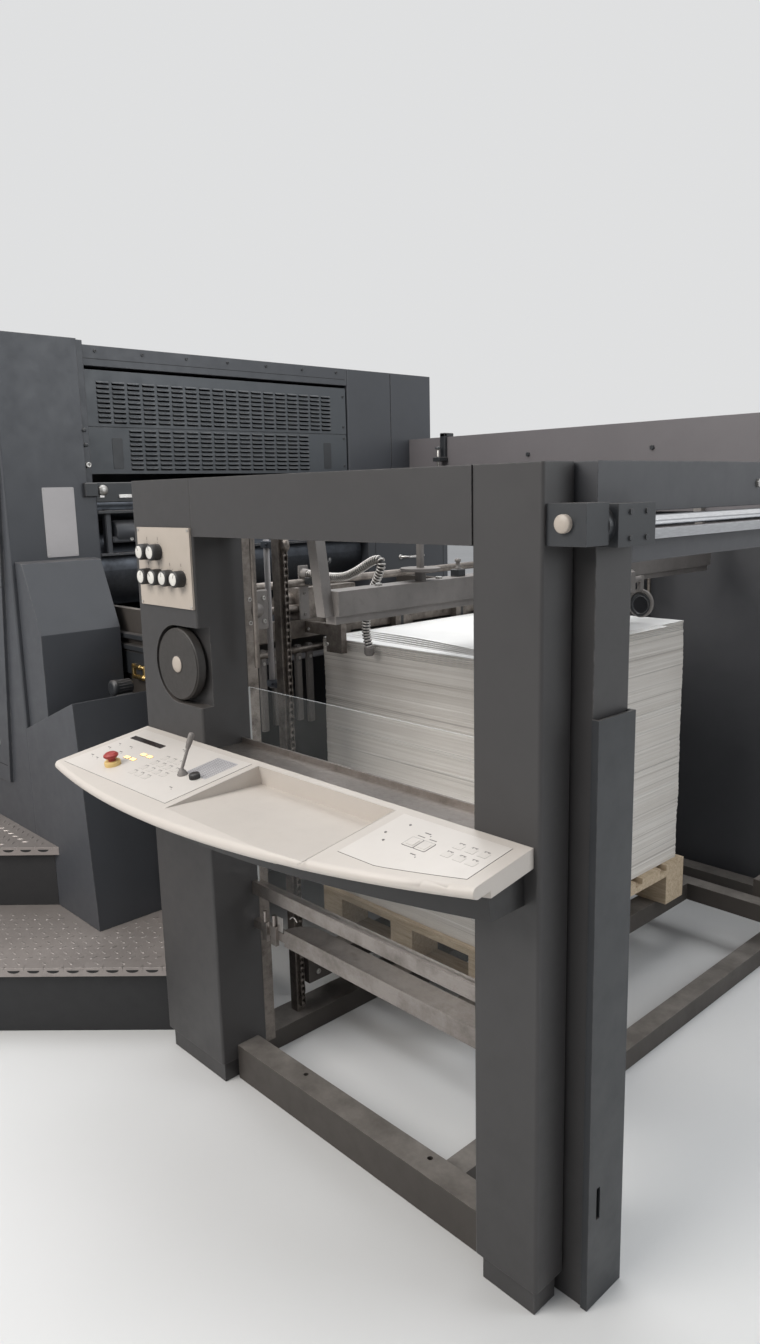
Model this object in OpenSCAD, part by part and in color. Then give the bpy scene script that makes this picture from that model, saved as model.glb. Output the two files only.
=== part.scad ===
// Sheet-fed offset printing press with its feeder, printing units, side steps and delivery.
// X runs along the machine towards the feeder's rear, -Y is the operator side, Z is up.

/* [Feeder frame] */

// Height of the operator side frame
frame_h = 1643; // [1560:1:1700]
// Half width of the machine over the side covers
face_y = 1080; // [1060:1:1120]
// Width of the front post that carries the hand wheel
front_post_w = 284; // [270:1:320]
// Clear length of the window between the posts
window_l = 910; // [880:1:980]
// Width of the rear post
rear_post_w = 155; // [120:1:190]
// Depth of the front post and of the beams
post_d = 150; // [130:1:180]
// Depth of the rear post
rear_post_d = 90; // [70:1:110]
// Height of the top beam
beam_h = 141; // [110:1:180]
// Height of the high beam on the drive side above the side frame
high_beam_h = 197; // [150:1:230]
// Height of the recessed kick base
kick_h = 60; // [40:1:90]
// Depth of the recessed kick base
kick_in = 12; // [6:1:18]
// Radius of the posts' folded corners
corner_r = 7; // [3:0.5:10]
// Radius of the hand wheel
wheel_r = 95; // [80:1:105]
// Width of the hand wheel's rim
wheel_t = 30; // [22:1:36]
// Height of the hand wheel's shaft
wheel_z = 1170; // [1150:1:1200]

/* [Console] */

// Length of the console desk
desk_l = 1336; // [1300:1:1345]
// Height of the desk's back edge
desk_z = 975; // [940:1:1000]
// Slope of the desk towards the operator
desk_tilt = 9; // [6:0.5:12]
// Radius of the bow front
desk_r = 2531; // [2480:1:2600]
// Reach of the bow front at its deepest
desk_reach = 322; // [300:1:340]
// Thickness of the rounded front edge
desk_rim = 24; // [20:1:28]
// Thickness of the desk behind the rim
desk_t = 38; // [34:1:46]
// Length of the sunk tray
tray_l = 460; // [400:1:500]
// Depth of the sunk tray at its back
tray_depth = 46; // [36:1:50]

/* [Pile] */

// Sheet length along the machine
sheet_l = 672; // [600:1:740]
// Sheet width across the machine
sheet_w = 970; // [900:1:1030]
// Offset of the pile from the machine's centre
pile_y = -25; // [-30:1:0]
// Height of the paper pile
pile_h = 815; // [500:1:830]
// Height of the pallet
pallet_h = 140; // [120:1:150]
// Height of the carrier's top under the pallet
carrier_z = 210; // [150:1:215]

/* [Printing units] */

// Number of printing units
unit_count = 2; // [1:1:4]
// Distance from one unit to the next
unit_pitch = 1200; // [1150:1:1300]
// Length of a unit's upper housing
tower_l = 900; // [850:1:950]
// Height of the units
unit_h = 2137; // [2100:1:2250]
// Width of the operator side cover
tower_w = 330; // [310:1:350]
// Width of the drive side cover
drive_w = 540; // [520:1:580]
// Height of the louvred guard
guard_h = 366; // [350:1:400]
// Length of one louvre slot
slot_l = 50; // [40:1:54]
// Height of one louvre slot
slot_h = 9; // [5:0.5:10]
// Distance from one louvre slot to the next along a row
slot_pitch = 62; // [60:1:70]
// Distance from one row of louvres to the next
row_pitch = 17; // [15:0.5:17.5]

/* [Steps and delivery] */

// Height of the lower tread
tread_z = 220; // [200:1:240]
// Height of the lip along the front of each tread
lip_h = 28; // [20:1:40]
// Height of the gallery deck
deck_z = 440; // [410:1:470]
// Width of the gallery
gallery_w = 670; // [600:1:750]
// Depth of the corner step, square to its edge
tread_d = 420; // [380:1:450]
// Length of the delivery
delivery_l = 1900; // [1850:1:2200]
// Height of the delivery hood
hood_h = 1900; // [1850:1:2000]

/* [Hidden] */

$fn = 48;
run_fit = 0.06;
seat = 0.5;
deck_plate = 6;
plinth_in = 25;
pedestal_x = -404;
pedestal_top_x = -466;
pedestal_z = 968;
pedestal_low_z = 825;
stop_at = [181, -206, 0];
stop_r = 20;
stop_base_h = 12;
stem_r = 9;
stop_travel = 4;
yo = -face_y;
fp_x1 = front_post_w;
rp_x0 = fp_x1 + window_l;
rp_x1 = rp_x0 + rear_post_w;
inner_y = face_y - post_d;
beam_z = frame_h - beam_h;
col_x0 = rp_x0 + 21;
col_x1 = rp_x1 + 41;
col_y = face_y - rear_post_d - 5;
col_d = 110;
cross_h = 88;
arm_t = 45;
sill_h = 60;
guide_top = beam_z - 22;
wheel_x = 178;
notch_r = wheel_r + 8;
wheel_front = yo;
wheel_back = wheel_front + wheel_t;
notch_back = wheel_back + 6;
spindle_r = 12;
spindle_l = 42;
plate_x0 = 27;
plate_z0 = beam_z - 182;
plate_w = 253;
plate_h = 203;
plate_t = 6;
knob_r = 20;
knob_l = 24;
knob_pin_r = 5;
knob_top_z = plate_z0 + 140;
knob_low_z = plate_z0 + 76;
knob_pitch = 53;
knob_x0 = 76;
shelf_t = 8;
shelf_z = desk_z - 20;
rail_z0 = 525;
rail_h = 37;
rail_y0 = -inner_y - 25;
rail_d = 24;
glass_t = 6;
glass_h = 543;
pile_x0 = 93;
pallet_z = carrier_z;
pile_z = pallet_z + pallet_h;
pile_top = pile_z + pile_h;
pallet_over = 20;
guide_w = 30;
guide_y = 750;
guide_x = [200, 1000];
head_z = 1290;
head_x = 560;
feed_x = 10;
hose_path = [[39, 195], [225, 195], [358, 247], [384, 231], [348, 165], [323, 105], [316, 43], [327, -10]];
tower_x = -840;
cover_x = tower_x - 110;
drive_y = face_y - drive_w;
base_z = 900;
bed_clear = 10;
guard_clear = 27;
head_cover_z = unit_h - 71;
pin_r = 6;
guard_gap = 13;
guard_top = head_cover_z - guard_gap;
guard_x = cover_x - 15;
pin_z = guard_top - 12;
tower_in = face_y - tower_w;
units_l = unit_count * unit_pitch;
end_x = tower_x - units_l;
out_x = end_x - delivery_l;
delivery_x = out_x + 250;
gal_y = face_y + gallery_w;
riser_c = 415;
lower_c = riser_c + tread_d * sqrt(2);
right_x = col_x1 + arm_t;
mid_x = (right_x + out_x) / 2;

// Part to draw

module place() {
    translate([-mid_x, 0, 0]) children();
}

// A box from its low corner to its high corner
module span(a, b) {
    translate(a) cube([b[0] - a[0], b[1] - a[1], b[2] - a[2]]);
}

// Plan of a folded sheet post, with rounded corners
module post_plan(w, d, r) {
    translate([r, 0]) square([w - 2 * r, d]);
    translate([0, r]) square([w, d - 2 * r]);
    for (x = [r, w - r]) for (y = [r, d - r]) translate([x, y]) circle(r = r);
}

// A post with rounded corners and a recessed kick base
module post(a, b) {
    w = b[0] - a[0];
    d = b[1] - a[1];
    translate([a[0], a[1], kick_h]) linear_extrude(b[2] - kick_h) post_plan(w, d, corner_r);
    span([a[0] + kick_in, a[1] + kick_in, a[2]], [b[0] - kick_in, b[1] - kick_in, kick_h]);
}

// A flat profile in the XZ plane, drawn out along Y
module side_profile(points, y0, y1) {
    translate([0, y1, 0]) rotate([90, 0, 0]) linear_extrude(y1 - y0) polygon(points);
}

// A round bar along Y
module rod_y(x, z, r, y0, y1) {
    translate([x, y0, z]) rotate([-90, 0, 0]) cylinder(r = r, h = y1 - y0);
}

module both_sides() {
    children();
    mirror([0, 1, 0]) children();
}

module feeder_front_post() {
    color([0.16, 0.17, 0.18]) place() difference() {
        post([0, yo, 0], [fp_x1, yo + post_d, frame_h]);
        rod_y(wheel_x, wheel_z, notch_r, yo - 1, notch_back);
        span([wheel_x, yo - 1, wheel_z - notch_r], [fp_x1 + 1, notch_back, wheel_z + notch_r]);
        rod_y(wheel_x, wheel_z, spindle_r + run_fit, yo, wheel_back + spindle_l + 4);
    }
}

// Rear post, and the two columns behind the posts
module rear_posts() {
    color([0.16, 0.17, 0.18]) place() {
        post([rp_x0, yo, 0], [rp_x1, yo + rear_post_d, frame_h]);
        both_sides() span([col_x0, -col_y, 0], [col_x1, -col_y + col_d, frame_h - cross_h]);
    }
}

module feeder_top_beam() {
    color([0.16, 0.17, 0.18]) place() span([fp_x1, yo, beam_z], [rp_x0, yo + post_d, frame_h]);
}

module drive_posts() {
    color([0.17, 0.18, 0.19]) place() {
        post([0, inner_y, 0], [fp_x1, face_y, frame_h]);
        post([rp_x0, face_y - rear_post_d, 0], [rp_x1, face_y, frame_h]);
    }
}

// Top beam of the drive side, with the high beam that runs on to the first unit
module drive_beams() {
    color([0.35, 0.33, 0.32]) place() {
        span([fp_x1, inner_y, beam_z], [rp_x0, face_y, frame_h]);
        span([cover_x, inner_y, frame_h], [rp_x1, face_y, frame_h + high_beam_h]);
    }
}

module drive_panel() {
    color([0.2, 0.21, 0.22]) place() span([fp_x1, face_y - 20, kick_h], [rp_x0, face_y - 6, beam_z]);
}

// Folded channel over the foot of each column
module column_covers() {
    w = 6;
    color([0.18, 0.18, 0.18]) place() both_sides() difference() {
        span([col_x1, -col_y - 4, 0], [col_x1 + 15, -col_y + col_d + 4, 1200]);
        span([col_x1 - 1, -col_y - 4 + w, -1], [col_x1 + 15 - w, -col_y + col_d + 4 - w, 1201]);
        span([col_x1 + 5, -col_y + 22, 190], [col_x1 + 16, -col_y + 34, 260]);
    }
}

module rear_cross_beam() {
    y = col_y;
    color([0.2, 0.21, 0.22]) place() span([col_x0 + 35, -y, frame_h - cross_h], [col_x1, y, frame_h]);
    color([0.12, 0.12, 0.12]) place()
        span([col_x1 - 60, -col_y + col_d, frame_h - 177], [col_x1, col_y - col_d, frame_h - 138]);
}

// Arms behind the rear posts, with a pin through the block on the operator side
module pivot_brackets() {
    z0 = frame_h - 143;
    y0 = -face_y + rear_post_d;
    color([0.1, 0.1, 0.1]) place() {
        both_sides() span([col_x1, y0, z0], [right_x, -col_y + col_d, z0 + 72]);
        span([rp_x1, yo + 10, z0 + 5], [rp_x1 + 78, yo + 74, z0 + 75]);
        rod_y(rp_x1 + 46, z0 + 36, 34, yo + 74, y0);
        rod_y(rp_x1 + 36, z0 + 42, 15, yo + 2, yo + 10);
        for (y = [y0 + 36, y0 + 86]) for (z = [z0 + 14, z0 + 58])
            translate([right_x, y, z]) rotate([0, 90, 0]) cylinder(r = 5, h = 3);
        for (z = [z0 - 60, z0 - 90, z0 - 120])
            translate([col_x1 - 30, -col_y + col_d, z]) rotate([-90, 0, 0])
                cylinder(r1 = 26, r2 = 5, h = 14);
    }
}

module rear_bars() {
    y = col_y - col_d;
    color([0.75, 0.76, 0.78]) place() {
        rod_y(col_x1 + 22, frame_h - 103, 10, -y, y);
        span([col_x1 + 8, -y, frame_h - 135], [col_x1 + 34, y, frame_h - 117]);
    }
}

// Sills on the floor between the posts
module base_beams() {
    s = face_y - post_d;
    color([0.3, 0.29, 0.28]) place() {
        difference() {
            span([fp_x1, yo + 50, 0], [rp_x0, yo + 120, 100]);
            translate([fp_x1 + 690, yo + 99, 60]) cylinder(r = 7, h = 50);
            translate([fp_x1 + 240, yo + 99, 60]) cylinder(r = 7, h = 50);
        }
        span([fp_x1, face_y - 120, 0], [rp_x0, face_y - 50, 100]);
        span([guide_x[0] - 50, -s, 0], [guide_x[0] + 50, s, sill_h]);
        span([guide_x[1] - 30, -face_y + 120, 0], [guide_x[1] + 30, face_y - 120, sill_h]);
    }
}

module guard_window() {
    color([0.7, 0.75, 0.75, 0.3]) place()
        span([fp_x1 + 16, rail_y0 + 9, rail_z0 + rail_h],
            [rp_x0 + 5, rail_y0 + 9 + glass_t, rail_z0 + rail_h + glass_h]);
}

// Tool shelf, rail under the window, and the sheet ledge below it with a rounded end
module shelf_and_rails() {
    ledge_z = rail_z0 - 110;
    color([0.45, 0.42, 0.38]) place() {
        span([fp_x1, yo, shelf_z - shelf_t], [rp_x0, rail_y0 - 2, shelf_z]);
        span([fp_x1, rail_y0 - 8, shelf_z], [rp_x0, rail_y0 - 2, shelf_z + 14]);
        span([fp_x1, rail_y0, rail_z0], [col_x0, rail_y0 + rail_d, rail_z0 + rail_h]);
        difference() {
            span([fp_x1 + 136, rail_y0, ledge_z], [col_x0, rail_y0 + 70, ledge_z + 47]);
            difference() {
                span([fp_x1 + 135, rail_y0 - 1, ledge_z - 1], [fp_x1 + 206, rail_y0 + 71, ledge_z + 48]);
                translate([fp_x1 + 206, rail_y0, ledge_z - 2]) cylinder(r = 70, h = 51);
            }
            span([fp_x1 + 200, rail_y0 + 6, ledge_z - 1], [col_x0 + 1, rail_y0 + 64, ledge_z + 41]);
        }
        span([fp_x1, rail_y0, ledge_z + 10], [fp_x1 + 136, rail_y0 + 20, ledge_z + 35]);
        for (x = [fp_x1 + 50, fp_x1 + 90]) {
            span([x, rail_y0 - 10, ledge_z - 5], [x + 22, rail_y0, ledge_z + 50]);
            translate([x + 11, rail_y0 - 5, ledge_z + 50]) cylinder(r = 5, h = 30);
        }
    }
}

// Frame of the desk's sloping top, with its origin on the back edge
module desk_frame() {
    translate([0, yo, desk_z]) rotate([desk_tilt, 0, 0]) children();
}

// Bow-fronted plate with a rounded edge, turned about the centre of the bow
module bow_plate(inset, top, bottom, nose) {
    r = desk_r - inset;
    translate([463, desk_r - desk_reach, 0]) rotate_extrude($fn = 180) union() {
        translate([r - 500, bottom]) square([500 - nose, top - bottom]);
        if (nose > 0) {
            translate([r - nose - 1, top - 2 * nose]) square([1, 2 * nose]);
            translate([r - nose, top - nose]) circle(r = nose, $fn = 32);
        }
    }
}

// Tub under the desk that the sunk tray is formed in
module tray_tub() {
    desk_frame() span([535, -150, -tray_depth - 6], [tray_l + 555, -10, -desk_t]);
}

module console_desk() {
    color([0.78, 0.78, 0.75]) place() difference() {
        union() {
            intersection() {
                desk_frame() union() {
                    bow_plate(0, 0, -desk_rim, desk_rim / 2);
                    bow_plate(40, 0, -desk_t, 0);
                }
                span([0, yo - 600, desk_z - 300], [desk_l, yo, desk_z + 100]);
            }
            tray_tub();
        }
        desk_frame() translate([545, 0, 0]) rotate([90, 0, 90])
            linear_extrude(tray_l) polygon([[-20, 5], [-20, -tray_depth], [-275, 0], [-275, 5]]);
    }
}

module console_apron() {
    color([0.13, 0.13, 0.13]) place() difference() {
        intersection() {
            desk_frame() bow_plate(60, -desk_t, -desk_t - 140, 0);
            span([20, yo - 600, desk_z - 115], [desk_l - 20, yo, desk_z + 50]);
        }
        tray_tub();
    }
}

// Raised key on the desk, given by its centre
module desk_key(x, y, w, d, h) {
    translate([x - w / 2, -y - d / 2, 0]) cube([w, d, h]);
}

// Key pads, display, stop button, microphone and knob
module console_controls() {
    color([0.85, 0.83, 0.78]) place() desk_frame() {
        desk_key(123, 73, 160, 20, 2);
        for (p = [[171, 160], [200, 160], [199, 128], [228, 128]]) desk_key(p[0], p[1], 20, 12, 2);
        for (i = [0:3]) for (j = [0:3])
            if (i < 3 || j == 1 || j == 2) desk_key(276 + i * 31, 112 + j * 30.7, 20, 17, 2);
        translate(stop_at) difference() {
            cylinder(r = stop_r, h = stop_base_h);
            translate([0, 0, 4]) cylinder(r = stem_r + run_fit, h = stop_base_h);
        }
        for (x = [1133, 1163]) desk_key(x, 100, 28, 32, 3);
        for (x = [1219, 1249, 1278]) for (y = [68, 101]) desk_key(x, y, 20, 17, 2);
        translate([424, -156, 0]) cylinder(r = 13, h = 18);
        translate([424, -156, 14]) rotate([-22, 12, 0]) {
            cylinder(r = 5, h = 60);
            translate([0, 0, 54]) cylinder(r = 8, h = 38);
        }
        translate([465, -146, 0]) cylinder(r = 13, h = 14);
    }
}

// Mushroom head of the stop button, with its stem in the bored base
module stop_button() {
    color([0.7, 0.1, 0.08]) place() desk_frame() translate(stop_at) {
        translate([0, 0, 4 + stop_travel + seat]) cylinder(r = stem_r, h = 12);
        translate([0, 0, stop_base_h + stop_travel + 4]) rotate_extrude()
            polygon([[0, 0], [stop_r - 6, 0], [stop_r - 2, 4], [stop_r - 2, 9], [stop_r - 7, 13], [0, 14]]);
    }
}

module knob_plate() {
    color([0.85, 0.83, 0.74]) place() difference() {
        span([plate_x0, yo - plate_t, plate_z0], [plate_x0 + plate_w, yo, plate_z0 + plate_h]);
        for (i = [1:6]) knob_at(i) rotate([90, 0, 0])
            translate([0, 0, -1]) cylinder(r = knob_pin_r + run_fit, h = plate_t + 2);
    }
}

// Two knobs in the top row, four in the row below
module knob_at(i) {
    x = knob_x0 + (i < 3 ? i - 1 : i - 3) * knob_pitch;
    z = i < 3 ? knob_top_z : knob_low_z;
    translate([x, yo, z]) children();
}

module air_knob(i) {
    color([0.06, 0.06, 0.06]) place() knob_at(i) rotate([90, 0, 0]) {
        translate([0, 0, 0.5]) cylinder(r = knob_pin_r, h = plate_t);
        translate([0, 0, plate_t + seat]) cylinder(r = knob_r, h = knob_l);
        translate([0, 0, plate_t + seat + knob_l]) cylinder(r1 = knob_r - 3, r2 = knob_r - 5, h = 2);
    }
}

module air_knob_1() { air_knob(1); }
module air_knob_2() { air_knob(2); }
module air_knob_3() { air_knob(3); }
module air_knob_4() { air_knob(4); }
module air_knob_5() { air_knob(5); }
module air_knob_6() { air_knob(6); }

module hand_wheel() {
    color([0.05, 0.05, 0.05]) place() translate([wheel_x, 0, wheel_z]) rotate([90, 0, 0])
        rotate_extrude() polygon([[0, -wheel_back - spindle_l], [spindle_r, -wheel_back - spindle_l],
            [spindle_r, -wheel_back], [wheel_r - 5, -wheel_back], [wheel_r, -wheel_back + 5],
            [wheel_r, -wheel_front - 5], [wheel_r - 5, -wheel_front], [0, -wheel_front]]);
}

// Four upright guides for the lifting chains, with a rail and a light rod behind each front post
module chain_guides() {
    h = guide_w / 2;
    color([0.2, 0.19, 0.18]) place() both_sides() {
        for (x = guide_x) span([x - h, -guide_y - h, sill_h], [x + h, -guide_y + h, guide_top]);
        span([fp_x1 - 60, -inner_y, sill_h], [fp_x1 - 6, -inner_y + 34, beam_z]);
        translate([fp_x1 + 60, -inner_y - 14, beam_z - 340]) cylinder(r = 7, h = 340);
    }
}

// Lifting frame under the pallet, with a shoe on each guide
module pile_carrier() {
    h = guide_w / 2;
    z0 = carrier_z - 60;
    color([0.25, 0.25, 0.26]) place() {
        both_sides() {
            span([120, -640, z0], [1050, -580, carrier_z]);
            for (x = guide_x) span([x - 40, -guide_y + h + seat, z0], [x + 40, -640, carrier_z + 60]);
        }
        for (x = [160, 420, 680]) span([x, -580, z0], [x + 70, 580, carrier_z]);
    }
}

// Pile of sheets in lifts that are never quite square
module sheet_stack(x, z) {
    n = 10;
    lift = pile_h / n;
    for (i = [0:n - 1])
        translate([x + 2 * sin(i * 137), -sheet_w / 2 + 2.5 * sin(i * 71 + 30), z + i * lift])
            cube([sheet_l, sheet_w, lift]);
}

// Loose top sheets that curl up towards the drive side
module curled_sheet(y0, r, w) {
    translate([pile_x0 + 30, y0, pile_top + r - seat]) rotate([0, 90, 0]) intersection() {
        difference() {
            cylinder(r = r, h = w, $fn = 200);
            translate([0, 0, -1]) cylinder(r = r - 2.5, h = w + 2, $fn = 200);
        }
        translate([r * cos(17), 0, -1]) cube([r, r * sin(17), w + 2]);
    }
}

module paper_pile() {
    color([0.93, 0.93, 0.92]) place() {
        translate([0, pile_y, 0]) {
            sheet_stack(pile_x0, pile_z);
            curled_sheet(sheet_w / 2 - 330, 1150, head_x - pile_x0 - 60);
            curled_sheet(sheet_w / 2 - 240, 700, head_x - pile_x0 - 110);
        }
    }
}

// Pallet with deck boards, bearers, nine blocks and three bottom boards
module pallet_at(x, z) {
    l = sheet_l + 2 * pallet_over;
    w = sheet_w + 2 * pallet_over;
    board = pallet_h / 7;
    block = pallet_h - 3 * board;
    bx = 90;
    by = 110;
    translate([x - pallet_over, -w / 2, z]) {
        for (i = [0:6]) translate([0, i * (w - by) / 6, pallet_h - board]) cube([l, by, board]);
        for (i = [0:2]) translate([i * (l - bx) / 2, 0, pallet_h - 2 * board]) cube([bx, w, board]);
        for (j = [0:2]) translate([0, j * (w - by) / 2, 0]) {
            cube([l, by, board]);
            for (i = [0:2]) translate([i * (l - bx) / 2, 0, board]) cube([bx, by, block]);
        }
    }
}

module pallet() {
    color([0.8, 0.7, 0.5]) place() translate([0, pile_y, 0]) pallet_at(pile_x0, pallet_z);
}

// Bars across the front of the pile, with the stops that the sheets lean on
module front_cross_rails() {
    z = pile_top;
    color([0.4, 0.39, 0.38]) place() {
        span([feed_x, -inner_y, z], [feed_x + 40, inner_y, z + 55]);
        rod_y(feed_x + 20, z + 90, 12, -inner_y, inner_y);
        rod_y(feed_x + 20, z - 40, 12, -inner_y, inner_y);
        for (y = [-430, -150, 150, 430]) {
            span([feed_x + 40, y - 30, z - 105], [feed_x + 64, y + 30, z + 120]);
            span([feed_x + 40, y + 30, z - 60], [feed_x + 50, y + 62, z + 20]);
        }
        span([feed_x - 70, -560, z + 55], [feed_x + 33, -330, z + 150]);
        rod_y(feed_x - 20, z + 102, 34, -600, -560);
        rod_y(feed_x + 57, z + 170, 12, -inner_y, inner_y);
        span([feed_x + 40, pile_y - sheet_w / 2 - 38, z + 15], [150, pile_y - sheet_w / 2 - 18, z + 50]);
        span([150, pile_y - sheet_w / 2 - 38, z - 35], [220, pile_y - sheet_w / 2 - 18, z + 145]);
        span([feed_x + 40, -inner_y, z - 160], [feed_x + 70, -inner_y + 60, z + 230]);
        span([feed_x + 40, inner_y - 60, z - 160], [feed_x + 70, inner_y, z + 230]);
    }
}

// Beam across the pile with the head that lifts the top sheet
module suction_head() {
    y = inner_y - 30;
    x1 = head_x + 60;
    color([0.42, 0.4, 0.38]) place() {
        span([head_x, -y, head_z + 20], [x1, y, head_z + 80]);
        span([head_x + 12, -y, head_z], [x1 - 12, y, head_z + 20]);
        both_sides() side_profile([[head_x + 14, head_z + 20], [head_x + 44, head_z + 20],
            [head_x + 4, frame_h - 60], [head_x - 28, frame_h - 60]], -inner_y, -y);
        span([x1, -190, head_z - 20], [x1 + 110, 190, head_z + 80]);
        span([x1 + 110, -120, head_z], [x1 + 170, 120, head_z + 60]);
        for (v = [-170, -57, 57, 170]) {
            translate([x1 + 60, v, pile_top + 25]) cylinder(r1 = 16, r2 = 8, h = 14);
            translate([x1 + 60, v, pile_top + 39]) cylinder(r = 8, h = head_z - 20 - pile_top - 39);
            translate([x1 + 60, v, head_z + 80]) cylinder(r = 16, h = 34);
        }
        for (v = [-90, 90]) translate([x1 + 30, v, head_z + 80]) cylinder(r = 7, h = 120);
        rod_y(x1 + 30, head_z + 206, 8, -220, 220);
        for (v = [-590, 300]) {
            translate([head_x + 30, v, head_z + 80]) cylinder(r = 14, h = 26);
            translate([head_x + 30, v, head_z + 106]) cylinder(r = 52, h = 8);
            translate([head_x + 30, v, head_z + 114]) cylinder(r = 10, h = frame_h - 60 - head_z - 114);
        }
        both_sides() {
            translate([x1 + 80, -190, head_z + 20]) rotate([90, 0, 0]) cylinder(r = 10, h = 100);
            translate([x1 + 80, -300, pile_top + 68]) rotate([90, 0, 0])
                rotate_extrude() translate([40, 0]) circle(r = 6, $fn = 20);
            translate([x1 + 74, -306, pile_top + 106]) cube([12, 20, head_z - pile_top - 76]);
        }
    }
}

// Round length between two points of the XZ plane
module hose_length(a, b, y, r) {
    translate([a[0], y, a[1]]) rotate([0, 90 - atan2(b[1] - a[1], b[0] - a[0]), 0])
        cylinder(r = r, h = norm(b - a));
}

// Collar at a bend of the hose, turned half way between the lengths that it joins
module hose_collar(a, b, c, y, r) {
    d = (b - a) / norm(b - a) + (c - b) / norm(c - b);
    translate([b[0], y, b[1]]) rotate([0, 90 - atan2(d[1], d[0]), 0]) sphere(r = r + 1.5);
}

// Ribbed air hose in short lengths, which stands out over the corner of the pile and hangs beside it
module air_hose() {
    r = 10;
    y = pile_y - sheet_w / 2 - 35;
    path = [for (p = hose_path) [feed_x + p[0], pile_top + p[1]]];
    last = len(path) - 1;
    color([0.6, 0.6, 0.6]) place() {
        span([feed_x + 33, y - 18, pile_top + 55], [feed_x + 40, y + 18, pile_top + 220]);
        for (i = [1:last]) hose_length(path[i - 1], path[i], y, r);
        for (i = [1:last - 1]) hose_collar(path[i - 1], path[i], path[i + 1], y, r);
        translate([path[last][0], y, path[last][1] - 18]) cylinder(r = r + 2, h = 26);
    }
}

// Sloping board that carries the sheets to the first unit, between its side plates
module feed_board() {
    z = pile_top + 55;
    color([0.25, 0.25, 0.26]) place() {
        side_profile([[feed_x, z - 20], [feed_x, z - 55], [tower_x, base_z + 40], [tower_x, base_z + 75]],
            -560, 560);
        both_sides() span([tower_x, -tower_in + 5, 300], [feed_x, -tower_in + 30, z]);
    }
}

// Places one copy for each printing unit
module each_unit() {
    for (u = [0:unit_count - 1]) translate([-u * unit_pitch, 0, 0]) children();
}

// Side covers of the units, bored for the pins of the guards
module unit_towers() {
    x1 = tower_x - tower_l;
    color([0.15, 0.17, 0.18]) place() each_unit() difference() {
        union() {
            post([x1, -face_y, 0], [tower_x, -tower_in, unit_h]);
            post([x1, drive_y, 0], [cover_x, face_y, unit_h]);
            span([cover_x - 20, drive_y + 8, kick_h], [tower_x, face_y - 8, frame_h]);
            side_profile([[x1 + 30, unit_h - 40], [tower_x - 8, unit_h - 40], [tower_x - 8, frame_h + 103],
                [tower_x - 160, 600], [x1 + 30, 600]], -face_y - 12, -face_y);
        }
        rod_y(guard_x, pin_z, pin_r + run_fit, -tower_in - 30, drive_y + 30);
        span([tower_x - 25, -tower_in - 34, 1654], [tower_x + 1, -tower_in + 1, unit_h + 1]);
        span([cover_x - 3, drive_y + drive_w / 2 - 2, frame_h + 30],
            [cover_x + 1, drive_y + drive_w / 2 + 2, unit_h + 1]);
    }
}

// Bed between the side covers, with the low covers in the gaps between units
module unit_beds() {
    x1 = tower_x - tower_l;
    color([0.12, 0.13, 0.14]) place() each_unit() {
        span([tower_x - unit_pitch, -tower_in, 0], [tower_x, drive_y, base_z]);
        span([tower_x - unit_pitch, -face_y + 30, kick_h], [x1, -tower_in, base_z]);
        span([tower_x - unit_pitch, drive_y, kick_h], [x1, face_y - 30, base_z]);
    }
}

// Closed top and back of each unit
module head_covers() {
    x1 = tower_x - tower_l;
    color([0.15, 0.17, 0.18]) place() each_unit() {
        span([x1, -tower_in, head_cover_z], [cover_x, drive_y, unit_h]);
        span([x1, -tower_in, base_z], [x1 + 40, drive_y, head_cover_z]);
    }
}

// One bank of louvre slots, between two heights
module louvre_bank(y0, y1, z0, rows) {
    n = floor((y1 - y0) / slot_pitch);
    for (r = [0:rows - 1]) for (c = [0:n - 1])
        span([guard_x - 16, y0 + c * slot_pitch, z0 + r * row_pitch],
            [guard_x + 16, y0 + c * slot_pitch + slot_l, z0 + r * row_pitch + slot_h]);
}

// Hinged guard with two banks of louvre slots
module louvre_guard(u) {
    y0 = -tower_in + 10;
    y1 = drive_y - 10;
    z0 = guard_top - guard_h;
    seam_z = z0 + 167;
    color([0.18, 0.2, 0.21]) place() translate([-u * unit_pitch, 0, 0]) difference() {
        union() {
            span([guard_x - 15, y0, z0], [guard_x + 15, y1, guard_top]);
            rod_y(guard_x, pin_z, pin_r, y0 - 30, y1 + 30);
        }
        louvre_bank(y0 + 75, y1 - 35, seam_z + 13, 9);
        louvre_bank(y0 + 195, y1 - 155, z0 + 12, 9);
        span([guard_x + 11, y0 - 1, seam_z - 2], [guard_x + 16, y1 + 1, seam_z + 2]);
        for (y = [y0 + 128, y1 - 128]) span([guard_x - 5, y, z0 + 24], [guard_x + 16, y + 30, z0 + 124]);
    }
}

module louvre_guard_1() { louvre_guard(0); }
module louvre_guard_2() { louvre_guard(1); }

// Cylinders and rollers that show below the guards, sized from the free height between bed and guard
module press_cylinders() {
    y0 = -tower_in;
    low = base_z + bed_clear;
    k = (guard_top - guard_h - guard_clear - low) / 75;
    color([0.3, 0.3, 0.31]) place() for (u = [0:unit_count - 1]) translate([-u * unit_pitch, 0, 0]) {
        for (c = [[30, 14], [18, 43], [48, 39]]) rod_y(tower_x - c[0] * k, low + c[1] * k, 14 * k, y0, drive_y);
        for (i = [1:4]) rod_y(tower_x - 13 * i * k, low + (i % 2 == 1 ? 65 : 71) * k, 4 * k, y0, drive_y);
    }
}

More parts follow.
